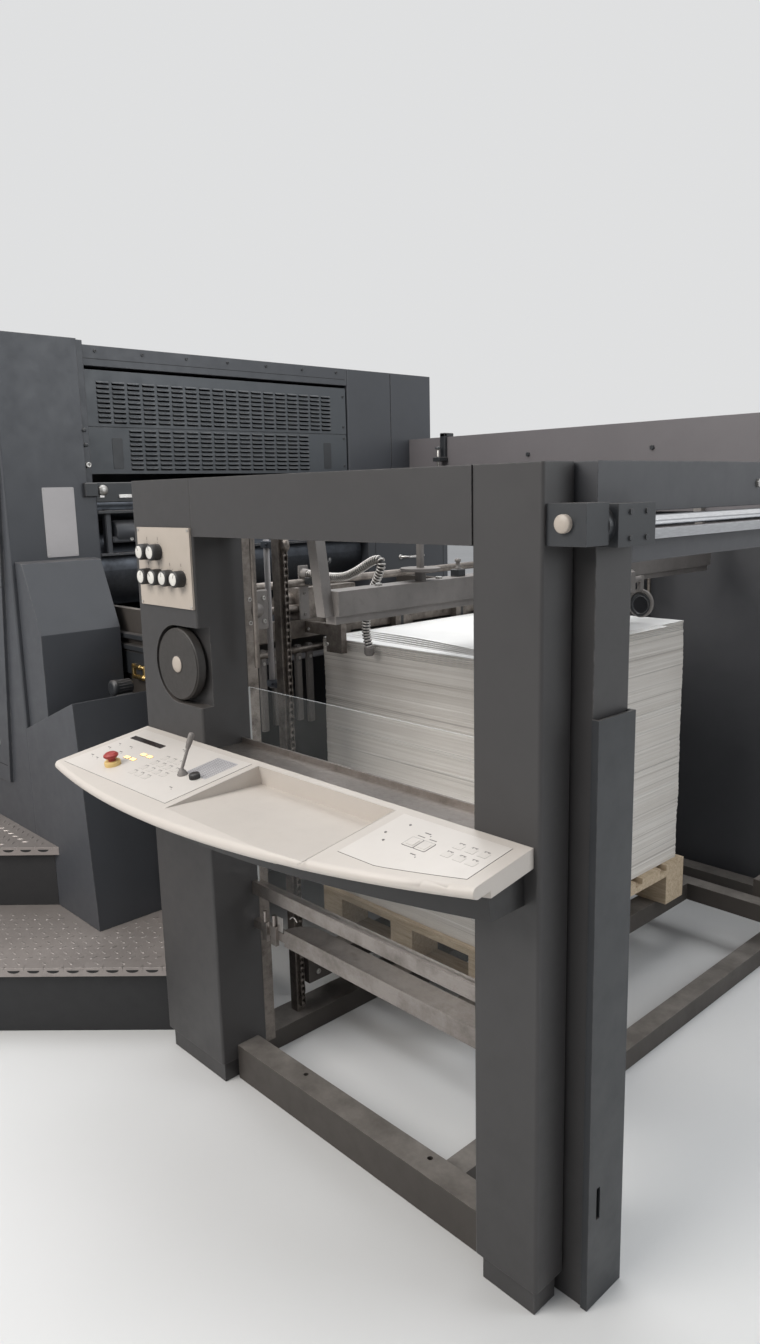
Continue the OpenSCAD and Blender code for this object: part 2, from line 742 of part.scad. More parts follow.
// Slanting chute cover and pedestal box at the corner of the first unit
module pedestal_and_chute() {
    out = 153;
    fall = (pedestal_z - pedestal_low_z) / (pedestal_top_x - tower_x);
    color([0.12, 0.13, 0.14]) place() {
        side_profile([[tower_x, tread_z], [pedestal_x, tread_z], [pedestal_top_x, pedestal_z],
            [tower_x, pedestal_low_z]], -face_y, -tower_in);
        side_profile([[tower_x, 1396], [tower_x + 50, 1391], [tower_x + out, 1160],
            [tower_x + out, pedestal_low_z + out * fall], [tower_x, pedestal_low_z]],
            -face_y + 15, -tower_in - 30);
    }
}

// Plan of the lower corner step, with its open edges moved in
module lower_plan(in) {
    c = lower_c - in * sqrt(2);
    g = gal_y - in;
    r = riser_c - plinth_in * sqrt(2);
    polygon([[0, -c], [0, -tower_in - 20], [tower_x, -tower_in - 20], [tower_x, -face_y],
        [r - face_y, -face_y], [r - g, -g], [c - g, -g]]);
}

// Plan of the gallery, with its open edges moved in
module deck_plan(in) {
    c = riser_c - in * sqrt(2);
    g = gal_y - in;
    polygon([[c - face_y, -face_y], [end_x + in, -face_y], [end_x + in, -g], [c - g, -g]]);
}

module gallery_plinths() {
    color([0.08, 0.08, 0.08]) place() both_sides() {
        linear_extrude(tread_z - deck_plate) lower_plan(plinth_in);
        linear_extrude(deck_z - deck_plate) deck_plan(plinth_in);
    }
}

module gallery_treads() {
    color([0.5, 0.52, 0.54]) place() both_sides() {
        translate([0, 0, tread_z - deck_plate]) linear_extrude(deck_plate) difference() {
            lower_plan(0);
            deck_plan(plinth_in);
            translate([tower_x - 1, -face_y]) square([pedestal_x - tower_x + 1, tower_w + 30]);
        }
        translate([0, 0, tread_z - lip_h]) linear_extrude(lip_h - deck_plate) difference() {
            lower_plan(0);
            lower_plan(4);
            deck_plan(plinth_in);
        }
        translate([0, 0, deck_z - deck_plate]) linear_extrude(deck_plate) deck_plan(0);
        translate([0, 0, deck_z - lip_h]) linear_extrude(lip_h - deck_plate) difference() {
            deck_plan(0);
            deck_plan(4);
        }
    }
}

// Delivery: sloping chain housing, end posts, side panels and floor sill
module delivery_frame() {
    y = face_y - post_d;
    color([0.16, 0.17, 0.18]) place() {
        side_profile([[end_x, base_z], [end_x, 1500], [end_x - 450, hood_h], [out_x, hood_h],
            [out_x, hood_h - 250], [end_x - 600, hood_h - 250], [end_x - 300, base_z]], -face_y, face_y);
        both_sides() {
            post([out_x, -face_y, 0], [out_x + 200, -face_y + post_d, hood_h - 250]);
            post([end_x - 300, -face_y, 0], [end_x, -y, base_z]);
        }
        span([out_x + 20, -y, 0], [out_x + 100, y, 60]);
    }
}

module delivery_pile() {
    color([0.93, 0.93, 0.92]) place()
        translate([delivery_x, -sheet_w / 2, pallet_h]) cube([sheet_l, sheet_w, pile_h * 0.6]);
}

module delivery_pallet() {
    color([0.8, 0.7, 0.5]) place() {
        pallet_at(delivery_x, 0);
        span([out_x + 100, -40, 0], [delivery_x - pallet_over, 40, pallet_h / 7]);
    }
}

feeder_front_post();
rear_posts();
feeder_top_beam();
drive_posts();
drive_beams();
drive_panel();
column_covers();
rear_cross_beam();
pivot_brackets();
rear_bars();
base_beams();
guard_window();
shelf_and_rails();
console_desk();
console_apron();
console_controls();
stop_button();
knob_plate();
air_knob_1();
air_knob_2();
air_knob_3();
air_knob_4();
air_knob_5();
air_knob_6();
hand_wheel();
chain_guides();
pile_carrier();
paper_pile();
pallet();
front_cross_rails();
suction_head();
air_hose();
feed_board();
unit_towers();
unit_beds();
head_covers();
louvre_guard_1();
louvre_guard_2();
press_cylinders();
pedestal_and_chute();
gallery_plinths();
gallery_treads();
delivery_frame();
delivery_pile();
delivery_pallet();
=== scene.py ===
import bpy
import random
from math import asin, cos, pi, radians, sin, sqrt
from mathutils import Matrix, Vector


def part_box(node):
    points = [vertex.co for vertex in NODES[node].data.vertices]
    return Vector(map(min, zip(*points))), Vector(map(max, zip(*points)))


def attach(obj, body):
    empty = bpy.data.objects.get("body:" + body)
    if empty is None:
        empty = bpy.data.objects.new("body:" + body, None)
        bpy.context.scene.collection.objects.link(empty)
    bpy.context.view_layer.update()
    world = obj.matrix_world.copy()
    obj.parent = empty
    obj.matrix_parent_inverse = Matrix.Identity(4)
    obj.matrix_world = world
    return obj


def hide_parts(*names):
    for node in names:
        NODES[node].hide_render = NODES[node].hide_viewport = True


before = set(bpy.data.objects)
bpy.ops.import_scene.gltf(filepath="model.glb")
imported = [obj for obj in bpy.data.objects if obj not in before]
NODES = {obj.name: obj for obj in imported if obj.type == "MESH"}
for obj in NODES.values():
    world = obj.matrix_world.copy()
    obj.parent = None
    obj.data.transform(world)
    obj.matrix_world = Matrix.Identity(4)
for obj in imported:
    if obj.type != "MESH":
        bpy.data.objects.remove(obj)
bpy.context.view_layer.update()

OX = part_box("feeder_front_post")[0].x  # the front post's left face, where X is counted from
MM = 0.001  # pieces are drawn in millimetres, as in the part's source
PX, PY, PZ = (1, 0, 0), (0, 1, 0), (0, 0, 1)
NX, NY, NZ = (-1, 0, 0), (0, -1, 0), (0, 0, -1)
SAME = Matrix.Identity(4)
MIRROR = Matrix.Diagonal((1, -1, 1, 1))  # takes the operator side to the drive side
UNITS = (0, -1200)
rnd = random.Random(7)


# ---- mesh code
def circle(n, r):
    """n points (across, up) evenly round a circle."""
    return [(r * cos(2 * pi * k / n), r * sin(2 * pi * k / n)) for k in range(n)]


def rounded(w, h, r, n=5, x=0.0, y=0.0):
    """Outline of a rectangle with round corners about (x, y)."""
    out = []
    for sx, sy, a0 in ((1, 1, 0), (-1, 1, 90), (-1, -1, 180), (1, -1, 270)):
        for i in range(n + 1):
            a = radians(a0 + 90 * i / n)
            out.append((x + sx * (w / 2 - r) + r * cos(a), y + sy * (h / 2 - r) + r * sin(a)))
    return out


def bands(n, rows, ring=None):
    """Faces between rows of n points, from one row to the next; with ring rows in all they close up."""
    ring = ring or rows + 1
    return [(i * n + j, i * n + (j + 1) % n, (i + 1) % ring * n + (j + 1) % n, (i + 1) % ring * n + j)
        for i in range(rows) for j in range(n)]


def show(name, data):
    """Puts an object into the scene."""
    o = bpy.data.objects.new(name, data)
    bpy.context.scene.collection.objects.link(o)
    return o


class Part:
    """Collects vertices and faces of one piece; m places what is added next."""

    def __init__(self, m=SAME):
        self.v, self.f, self.s, self.m = [], [], [], m

    def add(self, vs, fs, smooth=False):
        o = len(self.v)
        self.v += [self.m @ Vector(p) for p in vs]
        turn = -1 if self.m.determinant() < 0 else 1
        self.f += [tuple(o + i for i in f)[::turn] for f in fs]
        self.s += [smooth] * len(fs)
        return self

    def box(self, a, b, c=0.0):
        """A box from its low to its high corner, with chamfered edges."""
        mid = [(a[i] + b[i]) / 2 for i in range(3)]
        h = [abs(b[i] - a[i]) / 2 for i in range(3)]
        c = min(c, *[x * 0.45 for x in h])
        corners = [(x, y, z) for x in (-1, 1) for y in (-1, 1) for z in (-1, 1)]
        if c <= 0:
            return self.add([[mid[i] + s[i] * h[i] for i in range(3)] for s in corners],
                [(0, 1, 3, 2), (4, 6, 7, 5), (0, 4, 5, 1), (2, 3, 7, 6), (0, 2, 6, 4), (1, 5, 7, 3)])
        vs = [[mid[i] + s[i] * (h[i] if i == k else h[i] - c) for i in range(3)] for s in corners for k in range(3)]
        fs = []
        for k in range(3):
            i, j = (k + 1) % 3, (k + 2) % 3

            def at(sk, si, sj, axis):
                s = [0, 0, 0]
                s[k], s[i], s[j] = sk, si, sj
                return corners.index(tuple(s)) * 3 + axis

            for sk in (-1, 1):
                fs.append([at(sk, *s, k) for s in ((-1, -1), (1, -1), (1, 1), (-1, 1))][::sk])
                for si in (-1, 1):
                    fs.append([at(sk, si, -1, k), at(sk, si, 1, k), at(sk, si, 1, i), at(sk, si, -1, i)][::sk * si])
        for n, (x, y, z) in enumerate(corners):
            fs.append([n * 3, n * 3 + 1, n * 3 + 2][::x * y * z])
        return self.add(vs, [tuple(f) for f in fs])

    def lathe(self, p, d, profile, n=24, smooth=True):
        """Turns (radius, height) pairs about the line from p along d."""
        d = Vector(d).normalized()
        u = d.orthogonal().normalized()
        w = d.cross(u)
        p = Vector(p)
        vs = [p + d * h + (u * c + w * s) * r for r, h in profile for c, s in circle(n, 1)]
        self.add(vs, bands(n, len(profile) - 1), smooth)
        return self.caps(vs, n)

    def caps(self, vs, n):
        """Closes a bar over its first and last n points."""
        self.add(vs[:n], [tuple(range(n))[::-1]])
        return self.add(vs[-n:], [tuple(range(n))])

    def rod(self, p, q, r, n=16):
        d = Vector(q) - Vector(p)
        h = d.length
        c = min(0.8, r * 0.4, h * 0.3)
        return self.lathe(p, d, [(r - c, 0), (r, c), (r, h - c), (r - c, h)], n)

    def bolt(self, p, d, r, h):
        """A socket head with its recess."""
        return self.lathe(p, d, [(r, 0), (r, h * 0.8), (r * 0.88, h), (r * 0.55, h), (r * 0.5, h * 0.45),
            (0.2, h * 0.42)], 12, False)

    def bolts(self, xs, ys, zs, d, r, h):
        """Socket heads at every crossing of the given places."""
        for p in [(x, y, z) for x in xs for y in ys for z in zs]:
            self.bolt(p, d, r, h)
        return self

    def hexnut(self, p, d, r, h):
        return self.lathe(p, d, [(r, 0), (r, h * 0.85), (r * 0.9, h)], 6, False)

    def tube(self, pts, r, n=10, closed=False):
        """A round bar along pts; r is one radius, or a list with one for each point."""
        pts = [Vector(p) for p in pts]
        k = len(pts)
        vs, up = [], None
        for i, p in enumerate(pts):
            a = pts[(i - 1) % k] if closed or i else p
            b = pts[(i + 1) % k] if closed or i < k - 1 else p
            t = (b - a).normalized()
            if up is None:
                up = t.orthogonal().normalized()
            up = (up - t * up.dot(t)).normalized()
            w = t.cross(up)
            vs += [p + (up * c + w * s) * (r[i] if isinstance(r, list) else r) for c, s in circle(n, 1)]
        self.add(vs, bands(n, k if closed else k - 1, k), True)
        return self if closed else self.caps(vs, n)

    def prism(self, outline, z0, z1):
        """A flat outline in XY, counter-clockwise, drawn up from z0 to z1."""
        n = len(outline)
        vs = [(x, y, z) for z in (z0, z1) for x, y in outline]
        self.add(vs, [tuple(range(n))[::-1], tuple(range(n, 2 * n))])
        return self.add(vs, bands(n, 1))

    def pad(self, x, y, w, h, r, z0, z1, n=3):
        """A flat block with round corners about (x, y)."""
        return self.prism(rounded(w, h, r, n, x, y), z0, z1)

    def seams(self, m, levels=(), uprights=(), w=2.5):
        """Lines of painted shade, of width w, on a wall, for the gaps between panels: (height, from, to) for levels,
        (place, from, to) for uprights.
        """
        self.m = m
        for z, a, b in levels:
            self.box((a, z, -0.4), (b, z + w, 0.4))
        for x, a, b in uprights:
            self.box((x, a, -0.4), (x + w, b, 0.4))

    def sheet(self, at, nx, ny, thick):
        """A thin sheet with its underside through the points at(i, j), i along X and j along Y."""
        n = ny + 1
        vs = [(x, y, z + up) for i in range(nx + 1) for j in range(n) for x, y, z in [at(i, j)] for up in (0, thick)]
        fs = []
        for i in range(nx):
            for j in range(ny):
                a, b, c, d = (2 * ((i + u) * n + j + v) for u, v in ((0, 0), (1, 0), (1, 1), (0, 1)))
                fs += [(a + 1, b + 1, c + 1, d + 1), (a, d, c, b)]
        rim = ([i * n for i in range(nx + 1)] + [nx * n + j for j in range(1, n)]
            + [i * n + ny for i in range(nx - 1, -1, -1)] + [j for j in range(ny - 1, 0, -1)])
        fs += [(2 * a, 2 * b, 2 * b + 1, 2 * a + 1) for a, b in zip(rim, rim[1:] + rim[:1])]
        return self.add(vs, fs)

    def emit(self, name, look, body="press", slot=None):
        me = bpy.data.meshes.new(name)
        me.from_pydata([(p.x * MM + OX, p.y * MM, p.z * MM) for p in self.v], [], self.f)
        me.polygons.foreach_set("use_smooth", self.s)
        me.materials.append(M[look])
        me.update()
        o = show(name, me)
        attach(o, body)
        return o


def parts(n, m=SAME):
    return [Part(m) for _ in range(n)]


def place(m, *group):
    for p in group:
        p.m = m


def face_y(y, sign=-1):
    """Puts XY drawings on a wall at y that looks along sign Y: X stays X, Y becomes Z."""
    return Matrix(((1, 0, 0, 0), (0, 0, sign, y), (0, 1, 0, 0), (0, 0, 0, 1)))


def face_x(x):
    """Puts XY drawings on a wall at x that looks along +X: X becomes Y, Y becomes Z."""
    return Matrix(((0, 0, 1, x), (1, 0, 0, 0), (0, 1, 0, 0), (0, 0, 0, 1)))


# ---- materials, in metres
class Tree:
    def __init__(self, name):
        self.mat = bpy.data.materials.new(name)
        self.mat.use_nodes = True
        self.nt = self.mat.node_tree
        self.nt.nodes.clear()
        self.bsdf = self.new("ShaderNodeBsdfPrincipled")
        self.put(self.new("ShaderNodeOutputMaterial").inputs[0], self.bsdf.outputs[0])
        self.pos = self.new("ShaderNodeTexCoord").outputs["Object"]

    def new(self, kind, **props):
        n = self.nt.nodes.new(kind)
        for k, v in props.items():
            setattr(n, k, v)
        return n

    def put(self, socket, v):
        if isinstance(v, bpy.types.NodeSocket):
            self.nt.links.new(v, socket)
        else:
            socket.default_value = (*v, 1) if socket.type == "RGBA" else v

    def wire(self, node, *values):
        """Sets a node's first inputs in order."""
        for socket, v in zip(node.inputs, values):
            self.put(socket, v)
        return node.outputs[0]

    def fill(self, node, **sockets):
        """Sets inputs by name, with _ for each blank; None leaves an input as it is."""
        for k, v in sockets.items():
            if v is not None:
                self.put(node.inputs[k.replace("_", " ")], v)
        return node.outputs[0]

    def done(self, colour, rough, normal=None, **more):
        """Wires up the shader and gives back the material."""
        self.fill(self.bsdf, Base_Color=colour, Roughness=rough, Normal=normal, **more)
        return self.mat

    def noise(self, scale, detail=3, rough=0.55, stretch=None, distort=0.0):
        v = self.pos
        if stretch:
            v = self.fill(self.new("ShaderNodeMapping"), Vector=v, Scale=stretch)
        return self.fill(self.new("ShaderNodeTexNoise"), Vector=v, Scale=scale, Detail=detail, Roughness=rough,
            Distortion=distort)

    def ramp(self, v, a, b, lo=0.0, hi=1.0):
        return self.wire(self.new("ShaderNodeMapRange"), v, a, b, lo, hi)

    def math(self, op, a, b=0.0):
        return self.wire(self.new("ShaderNodeMath", operation=op), a, b)

    def mul(self, a, b):
        return self.math("MULTIPLY", a, b)

    def plus(self, a, b):
        return self.math("ADD", a, b)

    def mix(self, fac, a, b):
        n = self.new("ShaderNodeMix", data_type="RGBA")
        for i, v in ((0, fac), (6, a), (7, b)):
            self.put(n.inputs[i], v)
        return n.outputs[2]

    def normal(self):
        return self.new("ShaderNodeNewGeometry").outputs["Normal"]

    def axis(self, v, i):
        n = self.new("ShaderNodeSeparateXYZ")
        self.wire(n, v)
        return n.outputs[i]

    def steep(self, i):
        """How squarely a face looks along an axis, 0 to 1, whichever way round."""
        return self.math("ABSOLUTE", self.axis(self.normal(), i))

    def bevel(self, r):
        return self.fill(self.new("ShaderNodeBevel", samples=4), Radius=r)

    def bump(self, height, strength, distance, normal=None):
        return self.fill(self.new("ShaderNodeBump"), Height=height, Strength=strength, Distance=distance, Normal=normal)


def scale(c, k):
    return tuple(min(1.0, x * k) for x in c)


def surface(name, base, rough=0.5, metal=0.0, var=0.06, size=2.2, grain=420.0, bump=0.08, edge=0.0015,
        wear=None, worn=0.6, dust=0.0, dust_colour=(0.24, 0.21, 0.185), smudge=0.07):
    """Painted, moulded or cast: colour drift, smudges, dust on what faces up, worn edges, fine grain."""
    t = Tree(name)
    big = t.noise(size, 4)
    mid = t.noise(size * 7, 5, 0.65)
    col = t.mix(t.ramp(big, 0.3, 0.7), scale(base, 1 - var), scale(base, 1 + var))
    col = t.mix(t.ramp(mid, 0.52, 0.8, 0, 0.5), col, scale(base, 1 - 1.5 * var))
    rgh = t.ramp(mid, 0.3, 0.72, rough - smudge, rough + smudge)
    flat = t.normal()
    if dust:
        d = t.mul(t.ramp(t.axis(flat, 2), 0.35, 0.95), t.ramp(t.noise(9, 5, 0.7), 0.35, 0.75, 0.35, 1))
        d = t.mul(d, dust)
        col = t.mix(d, col, dust_colour)
        rgh = t.math("MAXIMUM", rgh, t.mul(d, 0.85))
    if wear:
        dot = t.new("ShaderNodeVectorMath", operation="DOT_PRODUCT")
        t.wire(dot, t.bevel(edge * 1.6), flat)
        e = t.mul(t.ramp(dot.outputs["Value"], 0.985, 0.8), t.ramp(t.noise(38, 5, 0.7), 0.42, 0.62))
        chips = t.ramp(t.noise(75, 6, 0.75), 0.71, 0.75)
        col = t.mix(t.mul(t.math("MAXIMUM", e, t.mul(chips, 0.22)), worn), col, wear)
    fine = t.plus(t.noise(grain, 2, 0.5), t.mul(t.noise(grain / 7, 3), 0.7))
    return t.done(col, rgh, t.bump(fine, bump, 0.0005, t.bevel(edge)), Metallic=metal)


def paper_edges():
    """Cut edges of stacked sheets: fine layers, wide darker bands and dark lines of painted shade between lifts, some
    soiling.
    """
    t = Tree("paper_edges")
    up = t.ramp(t.steep(2), 0.55, 0.8)
    fine = t.noise(900, 3, 0.7, stretch=(0.004, 0.004, 1))
    wide = t.noise(120, 5, 0.75, stretch=(0.005, 0.005, 1))
    # painted shade: thin dark lines, as in the gaps between lifts
    dark = t.ramp(t.noise(190, 2, 0.5, stretch=(0.003, 0.003, 1)), 0.6, 0.68)
    soil = t.ramp(t.noise(1.7, 4, 0.6), 0.35, 0.7)
    # painted shade: the sides drift in wide bands from near the top's tone down to a darker grey, as uneven lifts in
    # shade
    side = t.mix(t.ramp(wide, 0.3, 0.7), (0.5, 0.46, 0.415), (0.77, 0.74, 0.695))
    side = t.mix(t.ramp(fine, 0.35, 0.7, 0, 0.5), side, (0.52, 0.49, 0.455))
    side = t.mix(t.mul(dark, 0.5), side, (0.22, 0.2, 0.18))
    side = t.mix(t.mul(soil, 0.25), side, (0.36, 0.32, 0.28))
    top = t.mix(t.ramp(t.noise(3, 3), 0.3, 0.7), (0.7, 0.69, 0.67), (0.77, 0.76, 0.74))
    h = t.mul(t.plus(wide, t.mul(fine, 0.4)), t.math("SUBTRACT", 1.0, up))
    return t.done(t.mix(up, side, top), 0.72, t.bump(h, 0.7, 0.0016), Specular_IOR_Level=0.3)


def pallet_wood():
    """Raw sawn boards with grain along X, and grey soiling."""
    t = Tree("pallet_wood")
    light, dark, along = (0.58, 0.47, 0.34), (0.36, 0.275, 0.18), (1.1, 14.0, 14.0)
    g = t.noise(5.5, 6, 0.7, stretch=along, distort=1.2)
    fib = t.noise(60, 3, 0.6, stretch=along)
    col = t.mix(t.ramp(g, 0.32, 0.68), dark, light)
    col = t.mix(t.ramp(fib, 0.45, 0.8, 0, 0.35), col, scale(dark, 0.8))
    col = t.mix(t.ramp(t.noise(4, 4), 0.55, 0.8, 0, 0.35), col, (0.3, 0.26, 0.21))
    return t.done(col, t.ramp(fib, 0.3, 0.7, 0.62, 0.85), t.bump(t.plus(g, fib), 0.5, 0.0012, t.bevel(0.002)))


def brushed(name, base, rough, along="x", soil=0.35, soil_colour=(0.1, 0.085, 0.07)):
    """Bare metal with fine lines along one axis, and oily soiling."""
    t = Tree(name)
    s = [1.0, 1.0, 1.0]
    s["xyz".index(along)] = 0.03
    lines = t.noise(1400, 3, 0.6, stretch=tuple(s))
    blot = t.ramp(t.noise(16, 5, 0.7), 0.42, 0.72)
    col = t.mix(t.ramp(lines, 0.3, 0.7), scale(base, 0.85), scale(base, 1.12))
    col = t.mix(t.mul(blot, soil), col, soil_colour)
    rgh = t.plus(t.ramp(lines, 0.3, 0.7, rough - 0.05, rough + 0.07), t.mul(blot, soil * 0.35))
    return t.done(col, rgh, t.bump(lines, 0.18, 0.0002, t.bevel(0.001)), Metallic=1.0)


def clear_guard():
    """Clear sheet with scuffs, finger smears and a denser cut edge."""
    t = Tree("clear_guard")
    scuff = t.ramp(t.noise(60, 6, 0.8, stretch=(1, 1, 0.4)), 0.62, 0.82)
    smear = t.ramp(t.noise(6, 4, 0.6), 0.45, 0.75)
    rim = t.ramp(t.steep(1), 0.9, 0.5)
    a = t.plus(t.plus(t.mul(scuff, 0.06), 0.018), t.mul(smear, 0.015))
    return t.done(t.mix(scuff, (0.72, 0.75, 0.75), (0.78, 0.79, 0.78)), t.ramp(smear, 0, 1, 0.03, 0.16),
        Alpha=t.math("MAXIMUM", a, t.mul(rim, 0.4)))


def lit_key():
    """Plastic that is lit from inside."""
    t = Tree("lit_key")
    base = (0.9, 0.66, 0.3)
    return t.done(t.mix(t.ramp(t.noise(220, 2), 0.4, 0.6), scale(base, 0.9), base), 0.35,
        Emission_Color=(1.0, 0.6, 0.22), Emission_Strength=1.5)


WORN = (0.16, 0.15, 0.145)
M = {
    "post": surface("anthracite_post", (0.037, 0.035, 0.035), 0.46, wear=WORN, dust=0.35, edge=0.003),
    "post2": surface("anthracite_drive", (0.052, 0.053, 0.058), 0.48, wear=WORN, dust=0.35, edge=0.003),
    "unit": surface("anthracite_unit", (0.048, 0.051, 0.058), 0.44, wear=WORN, dust=0.25, edge=0.004),
    "guard": surface("anthracite_guard", (0.05, 0.056, 0.063), 0.42, wear=WORN, dust=0.2, edge=0.0012),
    "black": surface("black_enamel", (0.023, 0.025, 0.028), 0.42, wear=(0.11, 0.1, 0.1), dust=0.4),
    "beam": surface("grey_beam", (0.128, 0.118, 0.122), wear=(0.28, 0.26, 0.24), dust=0.45, edge=0.003),
    "plinth": surface("plinth_black", (0.014, 0.014, 0.015), 0.62, dust=0.3, edge=0.002),
    "sill": surface("floor_steel", (0.062, 0.054, 0.048), 0.55, metal=0.3, var=0.14, wear=(0.3, 0.27, 0.24),
        dust=0.8, dust_colour=(0.3, 0.275, 0.25), edge=0.002),
    "desk": surface("desk_moulding", (0.53, 0.485, 0.44), 0.42, var=0.035, size=3.5, grain=900, bump=0.06,
        edge=0.002, dust=0.06, smudge=0.05),
    "panel": surface("desk_panel", (0.58, 0.54, 0.5), 0.36, var=0.03, size=4, grain=900, bump=0.04,
        edge=0.0008, smudge=0.05),
    "cream": surface("cream_plate", (0.4, 0.35, 0.3), 0.42, var=0.05, size=7, edge=0.0008, smudge=0.08,
        wear=(0.2, 0.17, 0.14), worn=0.3),
    "label": surface("pale_plate", (0.42, 0.4, 0.4), 0.45, var=0.05, size=6, edge=0.0006,
        wear=(0.25, 0.24, 0.23), worn=0.3),
    "plastic": surface("black_plastic", (0.019, 0.018, 0.018), 0.4, var=0.12, size=9, grain=1200, bump=0.14,
        edge=0.0008, dust=0.12),
    "rubber": surface("dark_rubber", (0.03, 0.027, 0.025), 0.6, var=0.12, size=12, dust=0.15),
    "white": surface("white_cap", (0.62, 0.6, 0.56), 0.4, var=0.05, size=20, grain=1500, bump=0.06, edge=0.0005),
    "key": surface("key_cap", (0.57, 0.53, 0.49), 0.38, var=0.05, size=30, grain=1500, bump=0.06, edge=0.0006),
    # dark print for keys and knobs; also painted shade: rims round the keys and the speaker grille's holes
    "ink_and_shade": surface("key_marks_and_shade", (0.1, 0.09, 0.085), var=0.1, size=40, edge=0.0003),
    "red": surface("stop_red", (0.3, 0.034, 0.028), 0.44, var=0.1, size=25, edge=0.001),
    "yellow": surface("yellow_ring", (0.62, 0.44, 0.17), 0.42, var=0.08, size=25, edge=0.0006),
    "display": surface("dark_display", (0.03, 0.024, 0.022), 0.12, var=0.2, size=30, edge=0.0004),
    "grille": surface("speaker_patch", (0.4, 0.385, 0.39), var=0.05, size=15, edge=0.0004),
    # seam_shadow: painted shade for panel seams, the desk panels' gaps and the tread lip's slots
    "seam": surface("seam_shadow", (0.006, 0.006, 0.006), 0.7, var=0.1, edge=0.0003),
    "brass": brushed("brass_fitting", (0.62, 0.44, 0.18), 0.28, "z", soil=0.3),
    "oiled": brushed("oiled_steel", (0.24, 0.215, 0.195), 0.44, "y", 0.75, (0.06, 0.05, 0.042)),
    # painted shade: the press cylinders, and the guide rod clamps, get a dark bluish steel for the shade behind the
    # feeder's window
    "roller": brushed("roller_steel_painted_shade", (0.085, 0.092, 0.105), 0.42, "y", 0.45, (0.035, 0.035, 0.038)),
    "steel": brushed("bright_steel", (0.6, 0.58, 0.56), 0.28, "y"),
    "chrome": brushed("bright_chrome", (0.8, 0.81, 0.83), 0.12, "y", soil=0.08),
    "shelf": brushed("shelf_steel", (0.34, 0.31, 0.29), 0.34, soil=0.5),
    "zinc": brushed("zinc_bolt", (0.5, 0.49, 0.47), 0.35, "z", soil=0.4),
    "cast": surface("cast_grey", (0.19, 0.175, 0.165), 0.55, metal=0.2, var=0.16, size=8, bump=0.2, edge=0.002,
        wear=(0.38, 0.35, 0.32), dust=0.45),
    "tread": surface("tread_metal", (0.3, 0.268, 0.252), 0.44, metal=0.4, var=0.16, size=3.2, bump=0.14,
        wear=(0.42, 0.39, 0.36), worn=0.8, dust=0.25),
    "lug": surface("tread_lugs", (0.37, 0.335, 0.315), 0.36, metal=0.7, var=0.14, size=5,
        wear=(0.5, 0.47, 0.44), worn=0.9),
    "paper": paper_edges(),
    "pallet": pallet_wood(),
    "glass": clear_guard(),
    "lit": lit_key(),
    "hose": brushed("hose_metal", (0.46, 0.44, 0.42), 0.3, "z", soil=0.5),
}

LOOKS = {
    "post": "feeder_front_post rear_posts feeder_top_beam", "post2": "drive_posts drive_panel rear_cross_beam",
    "beam": "drive_beams", "black": "column_covers pivot_brackets", "chrome": "rear_bars",
    "sill": "base_beams pile_carrier feed_board", "glass": "guard_window", "shelf": "shelf_and_rails",
    "desk": "console_desk", "key": "console_controls", "red": "stop_button", "cream": "knob_plate",
    "rubber": "hand_wheel", "oiled": "chain_guides front_cross_rails", "paper": "paper_pile delivery_pile",
    "pallet": "pallet delivery_pallet", "cast": "suction_head", "hose": "air_hose",
    "unit": "unit_towers unit_beds head_covers pedestal_and_chute delivery_frame",
    "guard": "louvre_guard_1 louvre_guard_2", "roller": "press_cylinders", "plinth": "gallery_plinths",
    "tread": "gallery_treads",
}
BY_NODE = {node: look for look, nodes in LOOKS.items() for node in nodes.split()}
for name, obj in NODES.items():
    obj.data.materials.clear()
    obj.data.materials.append(M[BY_NODE.get(name, "plastic")])


# ---- shared pieces
def handle(p, at, d, up, length, out):
    """A bow handle: two feet, and a round bar bent between them."""
    at, d, up, r = Vector(at), Vector(d), Vector(up), 6
    p.tube([at + up * (-length / 2 * cos(a)) + d * (out * min(1.0, sin(a) * 1.6))
        for a in (pi * k / 8 for k in range(9))], r)
    for s in (-1, 1):
        p.lathe(at + up * (s * length / 2), d, [(r * 2, 0), (r * 2, 3), (r * 1.3, 5)], 16)


def hinges(p, x, y, zs, length=80, r=7.5, slit=1.6):
    """Upright hinges in three knuckles."""
    for z in zs:
        for k in range(3):
            s = Vector((x, y, z + length * (k - 1.5) / 3 + slit / 2))
            p.rod(s, s + Vector((0, 0, length / 3 - slit)), r, 14)


# ---- desk
DESK = Matrix.Translation((0, -1080, 975)) @ Matrix.Rotation(radians(9), 4, "X")
BOW_X, BOW_R, REACH = 463, 2531, 322


def bow(u, inset):
    """Distance out from the desk's back edge to its bowed front, at u along the desk."""
    return BOW_R - REACH - sqrt((BOW_R - inset) ** 2 - (u - BOW_X) ** 2)


def panel(name, left, right, inset, reach):
    """A thin inlay with a gap of painted shade round it; its front follows the bow as far as its reach."""
    n, back, h, gap = 14, -22, 0.8, 0.6
    for grow, top, key, look in ((gap, h / 2, "_gap", "seam"), (0, h, "", "panel")):
        a, b = left - grow, right + grow
        xs = [a + (b - a) * i / n for i in range(n + 1)]
        out = [(x, max(-reach, bow(x, inset)) - grow) for x in xs] + [(b, back + grow), (a, back + grow)]
        Part(DESK).prism(out, -0.5, top).emit(name + key, look)


